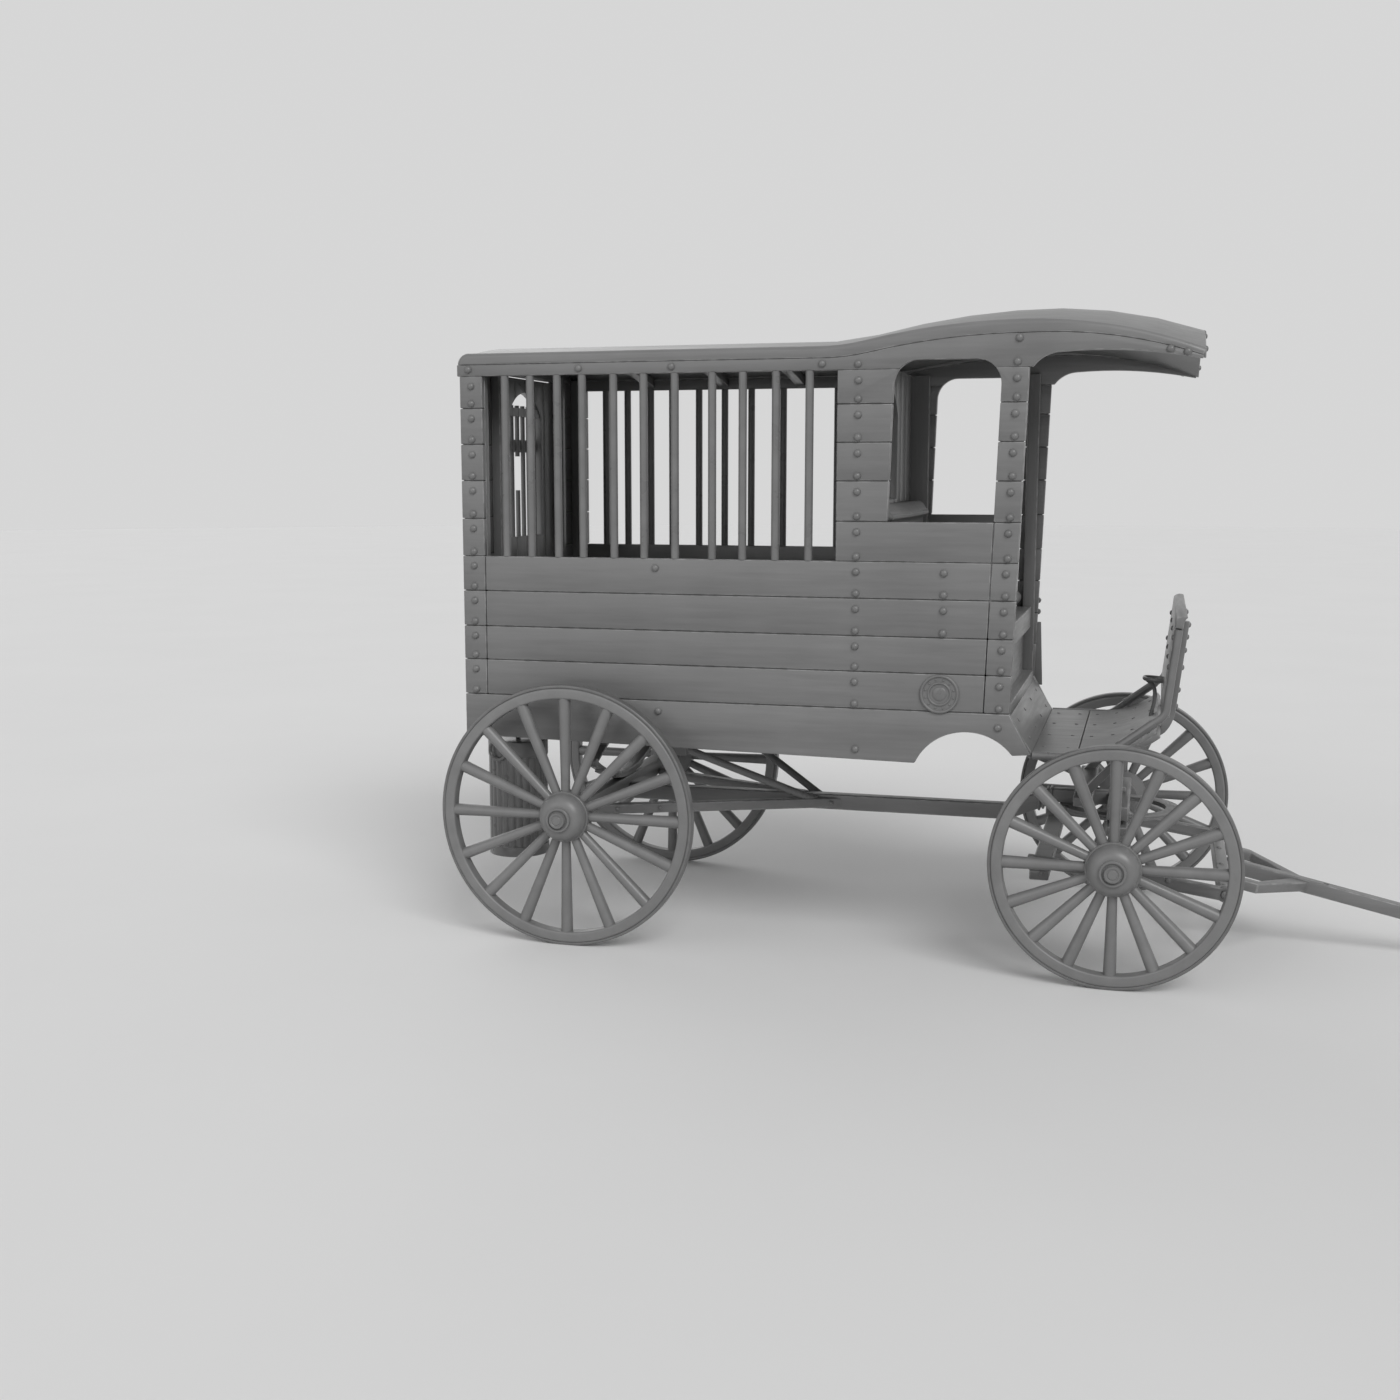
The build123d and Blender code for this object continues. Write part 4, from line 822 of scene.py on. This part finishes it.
def nave_profile():
    """Turned nave: inner band, spoke bed, domed nose with its nut ring and boss."""
    rise = NOSE_START - DOME_START
    reach = NAVE_RADIUS - DOME_STEP - NOSE_RING_RADIUS
    dome = []
    for n in range(NAVE_STEPS + 1):
        angle = math.pi / 2 * n / NAVE_STEPS
        dome.append((NOSE_RING_RADIUS + reach * math.cos(angle), DOME_START + rise * math.sin(angle)))
    ring_top = NOSE_START + NOSE_RING_DEPTH
    boss_top = ring_top + BOSS_HEIGHT
    ring_inner = NOSE_RING_RADIUS - 3 * LIP
    return [
        (ARM_BORE, NAVE_INNER), (INNER_BAND_RADIUS - LIP, NAVE_INNER), (INNER_BAND_RADIUS, NAVE_INNER + LIP),
        (INNER_BAND_RADIUS, INNER_BAND_END), (INNER_BAND_RADIUS + LIP, INNER_BAND_END + LIP),
        (NAVE_RADIUS - LIP, NAVE_SHOULDER - LIP), (NAVE_RADIUS, NAVE_SHOULDER),
        (NAVE_RADIUS, DOME_START - LIP), (NAVE_RADIUS - LIP, DOME_START),
    ] + dome + [
        (NOSE_RING_RADIUS, ring_top - LIP), (NOSE_RING_RADIUS - LIP, ring_top), (ring_inner, ring_top),
        (ring_inner - LIP, ring_top - LIP), (ring_inner - LIP, ring_top - GROOVE),
        (BOSS_RADIUS + LIP, ring_top - GROOVE), (BOSS_RADIUS, ring_top - GROOVE + LIP),
        (BOSS_RADIUS, boss_top - 2 * LIP), (BOSS_RADIUS - LIP, boss_top), (BOSS_RADIUS - 3 * LIP, boss_top),
        (BOSS_RADIUS - 4 * LIP, boss_top - LIP), (BUTTON_RADIUS + LIP, boss_top - LIP),
        (BUTTON_RADIUS, boss_top), (0, boss_top), (0, ARM_SPACE_END), (ARM_BORE, ARM_SPACE_END),
    ]


def dress_wheels():
    """Four wheels: turned nave, ring of tapered spokes, eased felloe and iron tyre."""
    ring = spoke_tree()
    size = sizes()
    for end in ENDS:
        for side, sign in SIDES.items():
            tyre_low, tyre_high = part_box(f"{end}_{side}_tyre")
            radius = (tyre_high.z - tyre_low.z) / 2
            rim = radius - size.tyre_thickness
            inner = rim - size.felloe_depth
            felloe_half = size.felloe_width / 2
            tyre_half = (tyre_high.y - tyre_low.y) / 2
            start = NAVE_RADIUS - SPOKE_ROOT
            spokes = ring.run(
                points_mesh([((0, 0, 0), UP)] * size.spokes),
                Start=start, Length=inner + SPOKE_TENON - start, Foot=size.spoke_foot, Tip=size.spoke_tip,
                Pitch=2 * math.pi / size.spokes, Material=materials["wheel_wood"],
            )
            section = eased_section((inner, -felloe_half), (rim, felloe_half), FELLOE_EASE)
            felloe = turned(section, RIM_SEGMENTS)
            wood = joined([turned(nave_profile(), NAVE_SEGMENTS), felloe, spokes])
            section = eased_section((rim + WELD, -tyre_half), (radius, tyre_half), TYRE_EASE)
            tyre = turned(section, RIM_SEGMENTS)
            for mesh, kind, slot in ((wood, "wheel", "wheel_wood"), (tyre, "tyre", "tyre_iron")):
                set_on_side(mesh, (tyre_low + tyre_high) / 2, sign)
                shade(mesh)
                place(f"{end}_{side}_{kind}_turned", mesh, f"{end}_{side}_wheel_set", slot, materials[slot],
                      f"{end}_{side}_{kind}")


# Rivets, bolts and nails

RIVET_UP = 0.043                     # upper rivet below a plank's top edge
RIVET_DOWN = 0.0185                  # lower rivet above a plank's bottom edge
# rivet columns, forward of the rear axle
REAR_COLUMN = -0.466
MID_COLUMN = 1.252
SEAT_COLUMN = 1.618
SEAT_COLUMN_REACH = (1.39, 1.71)     # heights that the seat's column covers
FRONT_COLUMN_INSET = 0.048           # front column behind the wall's front edge
FRONT_STRIP_X = 1.88                 # a plank that reaches past this has the front column
# columns: forward of the rear axle, height
FASCIA_RIVETS = (
    (-0.478, 2.518), (0.034, 2.516), (0.451, 2.516), (1.1, 2.516), (1.25, 2.513), (1.899, 2.604),
    (1.893, 2.511), (2.478, 2.548), (2.542, 2.536),
)
WALL_RIVETS = ((0.377, 1.665), (0.388, 1.043), (1.259, 0.915), (1.852, 1.03))
REAR_RIVET_COLUMNS = (0.425, 0.625)  # on the rear wall, from the centre plane
# heights over the dash's foot
DASH_BOLTS = (0.008, 0.077, 0.172, 0.245, 0.301, 0.352)
DASH_KNOBS = (0.205, 0.325)          # on the boards' rear face
# places from the centre plane
DASH_IRON_PLACES = (0.33, -0.33)
DASH_KNOB_PLACES = (0.61, 0.2, -0.2, -0.61)
NAIL_LINES = (-0.5, -0.17, 0.17, 0.5)
VISOR_BOLTS = (-0.6, -0.36, -0.12, 0.12, 0.36, 0.6)
STRAP_BOLTS = (-0.14, 0.06, 0.26)
LEAF_BOLT = 0.425
SPLINTER_BOLTS = (0.16, 0.42, 0.54)  # on both sides
# places forward of the rear axle
TOE_NAILS = (1.92, 1.968)
FOOT_NAILS = (2.03, 2.13, 2.21, 2.3, 2.38, 2.45)
FUTCHELL_BOLTS = (2.04, 2.305, 2.365, 2.55)
FUTCHELL_BOLT_HEIGHT = 0.41
STRAP_HEIGHTS = (1.3, 2.2)           # of the door's strap hinges
VISOR_BOLT_DROP = 0.015              # below the roof's top at its front edge
GEAR_BOLTS = {                       # columns: forward of the rear axle, height
    "rear_hounds": ((1.035, 0.545), (0.3, 0.545), (0.12, 0.545)),
    "stays": ((0.405, 0.86),),
}
BOLT_DOME = 0.7                      # height of a bolt's head as a share of its radius
CLEAR = 1                            # a line to a surface starts this far outside it
KNOB_SIGHT = 2                       # forward of the rear axle, where lines to the dash's rear face start
NAIL_SIGHT = 2                       # height from which lines go down to the driver's floor


def wall_rivets(sign):
    """Rivets on one side: two a plank in each column, and the single ones on fascia and wall."""
    node = "left_wall" if sign > 0 else "right_wall"
    places = list(FASCIA_RIVETS + WALL_RIVETS)
    for low, high in island_boxes(node):
        rear, front = low.x - REAR_AXLE_X, high.x - REAR_AXLE_X
        columns = [x for x in (REAR_COLUMN, MID_COLUMN) if rear < x < front]
        if rear < SEAT_COLUMN < front and SEAT_COLUMN_REACH[0] < low.z and high.z < SEAT_COLUMN_REACH[1]:
            columns.append(SEAT_COLUMN)
        if front > FRONT_STRIP_X:
            columns.append(front - FRONT_COLUMN_INSET)
        for x in columns:
            places += [(x, high.z - RIVET_UP), (x, low.z + RIVET_DOWN)]
    return [((along(x), sign * WALL_Y, z), (0, sign, 0)) for x, z in places]


def rear_rivets():
    """Rivets on the rear wall: two a plank in each column."""
    places = []
    for low, high in island_boxes("rear_wall"):
        for column in REAR_RIVET_COLUMNS:
            y = math.copysign(column, low.y + high.y)
            for z in (high.z - RIVET_UP, low.z + RIVET_DOWN):
                places.append(((REAR_WALL_X, y, z), REARWARD))
    return places


surfaces = {}


def seated(node, origin, direction):
    """Where a line meets a node's surface, and the way that the surface faces there."""
    if node not in surfaces:
        bm = node_bmesh(node)
        surfaces[node] = BVHTree.FromBMesh(bm)
        bm.free()
    spot, facing, _, _ = surfaces[node].ray_cast(Vector(origin), Vector(direction))
    if spot is None:
        raise RuntimeError(f"nothing of {node} to sit on from {origin}")
    return spot, facing


def body_bolts():
    """Carriage bolts through the dash and its irons, the visor's front edge, the hinges and the gear."""
    dash_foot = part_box("dash_boards")[0].z
    deck_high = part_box("roof_deck")[1]
    places = [
        seated("dash_irons", (deck_high.x, y, dash_foot + up), REARWARD)
        for y in DASH_IRON_PLACES for up in DASH_BOLTS
    ]
    places += [
        seated("dash_boards", (along(KNOB_SIGHT), y, dash_foot + up), FORWARD)
        for y in DASH_KNOB_PLACES for up in DASH_KNOBS
    ]
    for y in VISOR_BOLTS:
        crown, _ = seated("roof_deck", (deck_high.x - VISOR_BOLT_DROP, y, deck_high.z + CLEAR), DOWN)
        places.append(seated("roof_deck", (deck_high.x + CLEAR, y, crown.z - VISOR_BOLT_DROP), REARWARD))
    places += [seated("hinge_leaves", (REAR_WALL_X - CLEAR, LEAF_BOLT, z), FORWARD) for z in STRAP_HEIGHTS]
    for node, spots in GEAR_BOLTS.items():
        for sign in SIDES.values():
            places += [seated(node, (along(x), sign * CLEAR, z), (0, -sign, 0)) for x, z in spots]
    return places


def floor_nails():
    """Clout nails in the toe board and the footboard."""
    places = []
    for y in NAIL_LINES:
        for node, rows in (("toe_board", TOE_NAILS), ("footboard", FOOT_NAILS)):
            places += [seated(node, (along(x), y, NAIL_SIGHT), DOWN) for x in rows]
    return places


def door_bolts():
    """Bolts through the door's strap hinges."""
    return [
        seated("door_irons", (REAR_WALL_X - CLEAR, y, z), FORWARD)
        for z in STRAP_HEIGHTS for y in STRAP_BOLTS
    ]


def carriage_bolts():
    """Bolts through the futchells' sides."""
    return [
        seated("futchells", (along(x), sign * CLEAR, FUTCHELL_BOLT_HEIGHT), (0, -sign, 0))
        for x in FUTCHELL_BOLTS for sign in SIDES.values()
    ]


def pole_bolts():
    """Bolts down through the splinter bar."""
    x = middle("splinter_bar").x
    return [
        seated("splinter_bar", (x, sign * y, CLEAR), DOWN)
        for y in SPLINTER_BOLTS for sign in SIDES.values()
    ]


def dress_fasteners():
    """Rivets, bolts and nails, one mesh of each for a body."""
    heads = head_tree()
    size = sizes()
    iron = materials["painted_iron"]
    bolt = (size.bolt_radius, size.bolt_radius * BOLT_DOME)
    # columns: name, body, places, radius and height
    for name, body, places, (radius, height) in (
        ("body_rivets", BODY, wall_rivets(1) + wall_rivets(-1) + rear_rivets(),
         (size.rivet_radius, size.rivet_height)),
        ("body_bolts", BODY, body_bolts(), bolt),
        ("floor_nails", BODY, floor_nails(), (size.nail_radius, size.nail_height)),
        ("door_bolts", "rear_door", door_bolts(), bolt),
        ("carriage_bolts", "front_carriage", carriage_bolts(), bolt),
        ("pole_bolts", "pole", pole_bolts(), bolt),
    ):
        mesh = heads.run(points_mesh(places), Radius=radius, Height=height, Material=iron)
        place(name, mesh, body, "painted_iron", iron)


# Seat

STUFFING_SHRINK = 0.012              # the cover starts this far inside its solid
STUFFING_CAP = 0.024                 # farthest that a place on the cover is blown
STUFFING_PRESSURE = 4
STUFFING_FRAMES = 20
ROLL_BELOW_TOP = 0.085               # the pleated roll's reach below the seat back's top
PLEAT_DEPTH = 0.012


def stuffed_mesh(node):
    """A node's solid as a stuffed cover: drawn in, then blown up as cloth, and flat where it rests."""
    scene = bpy.context.scene
    low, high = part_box(node)
    centre, half = (low + high) / 2, (high - low) / 2
    bm = node_bmesh(node)
    for corner in bm.verts:
        for axis in range(3):
            share = (half[axis] - STUFFING_SHRINK) / half[axis]
            corner.co[axis] = centre[axis] + (corner.co[axis] - centre[axis]) * share
    holder = link("stuffing", mesh_from(bm, "stuffing"))
    remesh = holder.modifiers.new("Remesh", "REMESH")
    remesh.mode = "VOXEL"
    remesh.voxel_size = sizes().seat_grid
    cover = link("cover", evaluated_mesh(holder))
    drop(holder)
    start = [corner.co.copy() for corner in cover.data.vertices]
    cloth = cover.modifiers.new("Cloth", "CLOTH")
    cloth.settings.use_pressure = True
    cloth.settings.uniform_pressure_force = STUFFING_PRESSURE
    cloth.settings.effector_weights.gravity = 0
    cloth.point_cache.frame_start = 1
    cloth.point_cache.frame_end = STUFFING_FRAMES
    for step in range(1, STUFFING_FRAMES + 1):
        scene.frame_set(step)
    blown = evaluated_mesh(cover)
    cover.modifiers.remove(cloth)
    for corner, first, moved in zip(cover.data.vertices, start, blown.vertices):
        shift = moved.co - first
        if shift.length > STUFFING_CAP:
            shift *= STUFFING_CAP / shift.length
        corner.co = first + shift
    bpy.data.meshes.remove(blown)
    scene.frame_set(1)
    smooth = cover.modifiers.new("Smooth", "SUBSURF")
    smooth.levels = smooth.render_levels = 1
    mesh = evaluated_mesh(cover)
    drop(cover)
    for corner in mesh.vertices:
        corner.co.x = min(max(corner.co.x, low.x), high.x)
        corner.co.y = min(max(corner.co.y, low.y), high.y)
        corner.co.z = max(corner.co.z, low.z)
    mesh.shade_smooth()
    return mesh


def dress_seat():
    """Stuffed cushion, and a back whose top roll is gathered in pleats."""
    leather = materials["leather"]
    mesh = stuffed_mesh("seat_cushion")
    cushion = place("seat_cushion_stuffed", mesh, BODY, "leather", leather, "seat_cushion")
    mesh = stuffed_mesh("seat_back")
    low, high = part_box("seat_back")
    axis_x, axis_z = (low.x + high.x) / 2, high.z - (high.x - low.x) / 2
    for corner in mesh.vertices:
        away = Vector((corner.co.x - axis_x, 0, corner.co.z - axis_z))
        if corner.co.z > high.z - ROLL_BELOW_TOP and away.length > 0:
            wave = abs(math.sin(math.pi * corner.co.y / sizes().pleat_pitch)) - 1
            corner.co += away.normalized() * PLEAT_DEPTH * wave
    back = place("seat_back_stuffed", mesh, BODY, "leather", leather, "seat_back")


# Medallions and small fittings

MEDALLION_SEGMENTS = 72
RIM_ROLL = 0.013                     # width of a medallion's rolled rim
RIM_STEP = 0.002                     # from the rim to the field's edge
# columns: first and last degree of a rounding, steps
RIM_ARC = (-60, 180, 8)
HOOP_ARC = (20, 160, 5)
# shares of a medallion's radius
HOOP_OUTER, HOOP_MIDDLE, HOOP_INNER, HOOP_ROUND = 0.62, 0.56, 0.49, 0.06
BOSS_FOOT, STUD_RING = 0.36, 0.735
# shares of its thickness
FIELD_EDGE, FIELD_LEVEL, HOOP_LEVEL, BOSS_RISE, STUD_LEVEL = 0.45, 0.5, 0.55, 0.45, 0.48
BOSS_ANGLES = (0.25, 0.5, 0.8, 1.1, 1.35)  # radians, from the boss's foot towards its crown
STUD_COUNT = 12
STUD_RADIUS = 0.005
STUD_DOME = 0.8                      # height of a stud as a share of its radius


def medallion_profile(radius, thick):
    """Plain turned medallion: rolled rim, dished field, raised hoop and domed boss."""
    roll, field, boss = RIM_ROLL / 2, thick * FIELD_LEVEL, radius * BOSS_FOOT
    points = [(0, 0), (radius - LIP, 0)]
    points += arc_points((radius - roll, thick - roll), roll, *RIM_ARC)
    points += [(radius - RIM_ROLL - RIM_STEP, thick * FIELD_EDGE), (radius * HOOP_OUTER, field)]
    points += arc_points((radius * HOOP_MIDDLE, thick * HOOP_LEVEL), radius * HOOP_ROUND, *HOOP_ARC)
    points += [(radius * HOOP_INNER, field), (boss, field)]
    points += [(boss * math.cos(a), thick * (FIELD_LEVEL + BOSS_RISE * math.sin(a))) for a in BOSS_ANGLES]
    return points + [(0, thick * (FIELD_LEVEL + BOSS_RISE))]


def dress_medallions():
    """Round medallion on each side, with a ring of small studs in its field."""
    heads = head_tree()
    iron = materials["painted_iron"]
    meshes = []
    for low, high in island_boxes("medallions"):
        centre = (low + high) / 2
        sign = math.copysign(1, centre.y)
        radius, thick = (high.z - low.z) / 2, high.y - low.y
        disc = turned(medallion_profile(radius, thick), MEDALLION_SEGMENTS)
        ring, level = radius * STUD_RING, thick * STUD_LEVEL
        places = [
            ((ring * math.cos(a), level, ring * math.sin(a)), (0, 1, 0))
            for a in ring_angles(STUD_COUNT, shift=0.5)
        ]
        studs = heads.run(
            points_mesh(places), Radius=STUD_RADIUS, Height=STUD_RADIUS * STUD_DOME, Material=iron)
        mesh = joined([disc, studs])
        set_on_side(mesh, (centre.x, low.y if sign > 0 else high.y, centre.z), sign)
        meshes.append(mesh)
    mesh = joined(meshes)
    shade(mesh)
    place("medallions_turned", mesh, BODY, "painted_iron", iron, "medallions")


# columns: forward of the rear axle, height, on a rail's rise to the dash
SLEEVE_ENDS = ((2.334, 0.9685), (2.472, 1.0735))
RAIL_RADIUS = 0.016
SLEEVE_RADIUS = 0.0195
COLLAR_RADIUS = 0.0225
COLLAR_LENGTH = 0.012
CLIP_PLACES = (1.985, 2.003, 2.021, 2.039)  # bands round the reach, behind the turntable
CLIP_RADIUS = 0.006
# columns: forward of the rear axle, from the centre plane, height
PEDAL_LOOP = (
    (2.506, -0.05, 1.168), (2.462, -0.052, 1.172), (2.43, -0.034, 1.175), (2.424, 0, 1.176),
    (2.43, 0.034, 1.175), (2.462, 0.052, 1.172), (2.506, 0.05, 1.168),
)
PEDAL_STEM = ((2.43, 0, 1.172), (2.462, 0, 1.14), (2.47, 0, 1.09), (2.455, 0, 1.005))
PEDAL_RADIUS = 0.009
RING_RADIUS = 0.045                  # drop ring on the barrel's outer side
RING_BAR = 0.008
RING_SWING = 17                      # degrees from straight out, towards the rear
RING_DROP = 0.034                    # its middle below the barrel's top
RING_POINTS = 12
STAPLE_SEAT = 0.5                    # height of the staple's seat over the ring's middle, in ring radii
STAPLE_BAR = 0.007


def swept_along(spots, radius):
    """Round bar through places given forward of the rear axle, from the centre plane and in height."""
    return swept([(along(x), y, z) for x, y, z in spots], radius)


def reach_clips():
    """Wire bands wound round the reach where it climbs."""
    out = CLIP_RADIUS / 2
    low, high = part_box("reach_pole")
    half = (high.y - low.y) / 2 + out
    meshes = []
    for x in CLIP_PLACES:
        top = seated("reach_pole", (along(x), 0, CLEAR), DOWN)[0].z + out
        foot = seated("reach_pole", (along(x), 0, 0), UP)[0].z - out
        loop = eased_section((-half, foot), (half, top), CLIP_RADIUS)
        meshes.append(swept([(along(x), y, z) for y, z in loop], CLIP_RADIUS, closed=True))
    return meshes


def drop_ring():
    """Ring and staple that hang flat against the barrel's top band."""
    low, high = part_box("barrel")
    centre = (low + high) / 2
    swing = math.radians(RING_SWING)
    outward = Vector((-math.sin(swing), -math.cos(swing), 0))
    sideways = Vector((-outward.y, outward.x, 0))
    seat_z = high.z - RING_DROP + RING_RADIUS * STAPLE_SEAT
    foot, _ = seated("barrel", (*(centre + outward).xy, seat_z), -outward)
    hung = foot + outward * RING_BAR
    hung.z = high.z - RING_DROP
    ring = [
        hung + (sideways * math.cos(a) + Vector((0, 0, math.sin(a)))) * RING_RADIUS
        for a in ring_angles(RING_POINTS)
    ]
    crown = Vector((hung.x, hung.y, hung.z + RING_RADIUS))
    staple = [crown - outward * RING_BAR * 2 + Vector((0, 0, drop)) for drop in (-RING_BAR, RING_BAR)]
    staple.insert(1, crown + outward * RING_BAR * 2)
    return [swept(ring, RING_BAR, closed=True), swept(staple, STAPLE_BAR)]


def dress_fittings():
    """Sleeves on the rails, bands on the reach, the driver's pedal and the barrel's drop ring."""
    rail_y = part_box("footboard_rails")[1].y - RAIL_RADIUS
    (x0, z0), (x1, z1) = SLEEVE_ENDS
    share = COLLAR_LENGTH / math.hypot(x1 - x0, z1 - z0)
    collar_ends = ((x0, z0), (x0 + (x1 - x0) * share, z0 + (z1 - z0) * share))
    meshes = reach_clips()
    for sign in SIDES.values():
        for ends, radius in ((SLEEVE_ENDS, SLEEVE_RADIUS), (collar_ends, COLLAR_RADIUS)):
            meshes.append(swept_along([(x, sign * rail_y, z) for x, z in ends], radius))
    for spots in (PEDAL_LOOP, PEDAL_STEM):
        meshes.append(swept_along(spots, PEDAL_RADIUS))
    mesh = joined(meshes + drop_ring())
    shade(mesh)
    place("small_fittings", mesh, BODY, "painted_iron", materials["painted_iron"])


# Stage

CAMERA_EYE = (0.6158, -7.339, 2.064)
CAMERA_TURN = 15.798                 # degrees about Z from looking along +Y
CAMERA_DROP = 7.954                  # degrees below level
CAMERA_LENS = 41.48
CAMERA_SENSOR = 36
FLOOR_RADIUS = 60
FLOOR_SEGMENTS = 96
BACKDROP = (0.675, 0.675, 0.675)
SKY_LIGHT = 0.4
# columns: name, power, degrees across, from
SUNS = (
    ("key_sun", 1.5, 32, (3.4, -4.6, 4.6)),
    ("fill_sun", 0.4, 40, (-3.0, -6.0, 2.6)),
    ("back_sun", 0.45, 50, (-4.5, 5.0, 3.2)),
)


def set_floor():
    """Wide pale floor that takes the wagon's shadow."""
    bm = bmesh.new()
    bmesh.ops.create_circle(bm, cap_ends=True, radius=FLOOR_RADIUS, segments=FLOOR_SEGMENTS)
    floor = link("studio_floor", mesh_from(bm, "studio_floor"))
    ground = Paint("floor_paint")
    ground.tone(finishes().floor, ground.ranged(ground.noise(ground.spot, FLOOR_NOISE), *FLOOR_TONE))
    ground.shader.inputs["Roughness"].default_value = FLOOR_ROUGHNESS
    floor.data.materials.append(ground.material)


def set_sky():
    """Even light from all round, with the plain backdrop wherever the sky itself is seen."""
    world = bpy.data.worlds.new("studio_sky")
    bpy.context.scene.world = world
    world.use_nodes = True
    nodes, links = world.node_tree.nodes, world.node_tree.links
    light = nodes["Background"]
    light.inputs["Color"].default_value = (1, 1, 1, 1)
    light.inputs["Strength"].default_value = SKY_LIGHT
    seen = nodes.new("ShaderNodeBackground")
    seen.inputs["Color"].default_value = (*BACKDROP, 1)
    rays = nodes.new("ShaderNodeLightPath")
    chosen = rays.outputs["Is Camera Ray"]
    for kind in ("Is Glossy Ray", "Is Transmission Ray"):
        either = nodes.new("ShaderNodeMath")
        either.operation = "MAXIMUM"
        links.new(chosen, either.inputs[0])
        links.new(rays.outputs[kind], either.inputs[1])
        chosen = either.outputs["Value"]
    pick = nodes.new("ShaderNodeMixShader")
    links.new(chosen, pick.inputs["Fac"])
    links.new(light.outputs["Background"], pick.inputs[1])
    links.new(seen.outputs["Background"], pick.inputs[2])
    links.new(pick.outputs["Shader"], nodes["World Output"].inputs["Surface"])


def set_lamps():
    """Broad lamps from the front right, the rear right and the rear left."""
    for name, power, spread, source in SUNS:
        sun = bpy.data.lights.new(name, "SUN")
        sun.energy = power
        sun.angle = math.radians(spread)
        lamp = link(name, sun)
        lamp.rotation_euler = Vector(source).to_track_quat("Z", "Y").to_euler()


def set_camera():
    """Camera at the photograph's viewing angle."""
    view = bpy.data.cameras.new("photo_camera")
    view.lens = CAMERA_LENS
    view.sensor_width = CAMERA_SENSOR
    camera = link("photo_camera", view)
    camera.location = CAMERA_EYE
    camera.rotation_euler = (math.radians(90 - CAMERA_DROP), 0, math.radians(CAMERA_TURN))
    bpy.context.scene.camera = camera


def set_stage():
    """Pale floor, plain sky, soft lamps and the photograph's camera."""
    bpy.context.scene.view_settings.view_transform = "Standard"
    set_floor()
    set_sky()
    set_lamps()
    set_camera()


# Operators, panel and registration

class WAGON_OT_stage(bpy.types.Operator):
    """Set the floor, lamps, sky and camera"""

    bl_idname = "wagon.stage"
    bl_label = "Stage"

    def execute(self, context):
        set_stage()
        return {"FINISHED"}


class WAGON_OT_materials(bpy.types.Operator):
    """Make the paints, iron and leather"""

    bl_idname = "wagon.materials"
    bl_label = "Materials"

    def execute(self, context):
        make_materials()
        return {"FINISHED"}


class WAGON_OT_woodwork(bpy.types.Operator):
    """Ease and paint the planks, posts and beams"""

    bl_idname = "wagon.woodwork"
    bl_label = "Woodwork"

    def execute(self, context):
        dress_woodwork()
        return {"FINISHED"}


class WAGON_OT_ironwork(bpy.types.Operator):
    """Ease and paint the ironwork"""

    bl_idname = "wagon.ironwork"
    bl_label = "Ironwork"

    def execute(self, context):
        dress_ironwork()
        return {"FINISHED"}


class WAGON_OT_wheels(bpy.types.Operator):
    """Turn the four wheels and their tyres"""

    bl_idname = "wagon.wheels"
    bl_label = "Wheels"

    def execute(self, context):
        dress_wheels()
        return {"FINISHED"}


class WAGON_OT_fasteners(bpy.types.Operator):
    """Set the rivets, bolts and nails"""

    bl_idname = "wagon.fasteners"
    bl_label = "Rivets and bolts"

    def execute(self, context):
        dress_fasteners()
        return {"FINISHED"}


class WAGON_OT_medallions(bpy.types.Operator):
    """Turn the round medallions"""

    bl_idname = "wagon.medallions"
    bl_label = "Medallions"

    def execute(self, context):
        dress_medallions()
        return {"FINISHED"}


class WAGON_OT_fittings(bpy.types.Operator):
    """Make the rail sleeves, reach bands, pedal and drop ring"""

    bl_idname = "wagon.fittings"
    bl_label = "Small fittings"

    def execute(self, context):
        dress_fittings()
        return {"FINISHED"}


class WAGON_OT_seat(bpy.types.Operator):
    """Stuff the driver's cushion and seat back"""

    bl_idname = "wagon.seat"
    bl_label = "Seat"

    def execute(self, context):
        dress_seat()
        return {"FINISHED"}


STEPS = (
    WAGON_OT_stage, WAGON_OT_materials, WAGON_OT_woodwork, WAGON_OT_ironwork, WAGON_OT_wheels,
    WAGON_OT_fasteners, WAGON_OT_medallions, WAGON_OT_fittings, WAGON_OT_seat,
)


class WAGON_PT_sidebar(bpy.types.Panel):
    """Sizes, finishes and steps of the wagon"""

    bl_idname = "WAGON_PT_sidebar"
    bl_label = "Jail Wagon"
    bl_space_type = "VIEW_3D"
    bl_region_type = "UI"
    bl_category = "Wagon"

    def draw(self, context):
        for settings in (context.scene.wagon_finish, context.scene.wagon_sizes):
            column = self.layout.column()
            for name in settings.__annotations__:
                column.prop(settings, name)
        for step in STEPS:
            self.layout.operator(step.bl_idname)


CLASSES = (WagonFinish, WagonSizes, *STEPS, WAGON_PT_sidebar)


def register():
    for made in CLASSES:
        bpy.utils.register_class(made)
    bpy.types.Scene.wagon_finish = bpy.props.PointerProperty(type=WagonFinish)
    bpy.types.Scene.wagon_sizes = bpy.props.PointerProperty(type=WagonSizes)


def unregister():
    del bpy.types.Scene.wagon_sizes
    del bpy.types.Scene.wagon_finish
    for made in reversed(CLASSES):
        bpy.utils.unregister_class(made)


def main():
    register()
    bpy.ops.wagon.stage()
    bpy.ops.wagon.materials()
    bpy.ops.wagon.woodwork()
    bpy.ops.wagon.ironwork()
    bpy.ops.wagon.wheels()
    bpy.ops.wagon.fasteners()
    bpy.ops.wagon.medallions()
    bpy.ops.wagon.fittings()
    bpy.ops.wagon.seat()


if __name__ == "__main__":
    main()
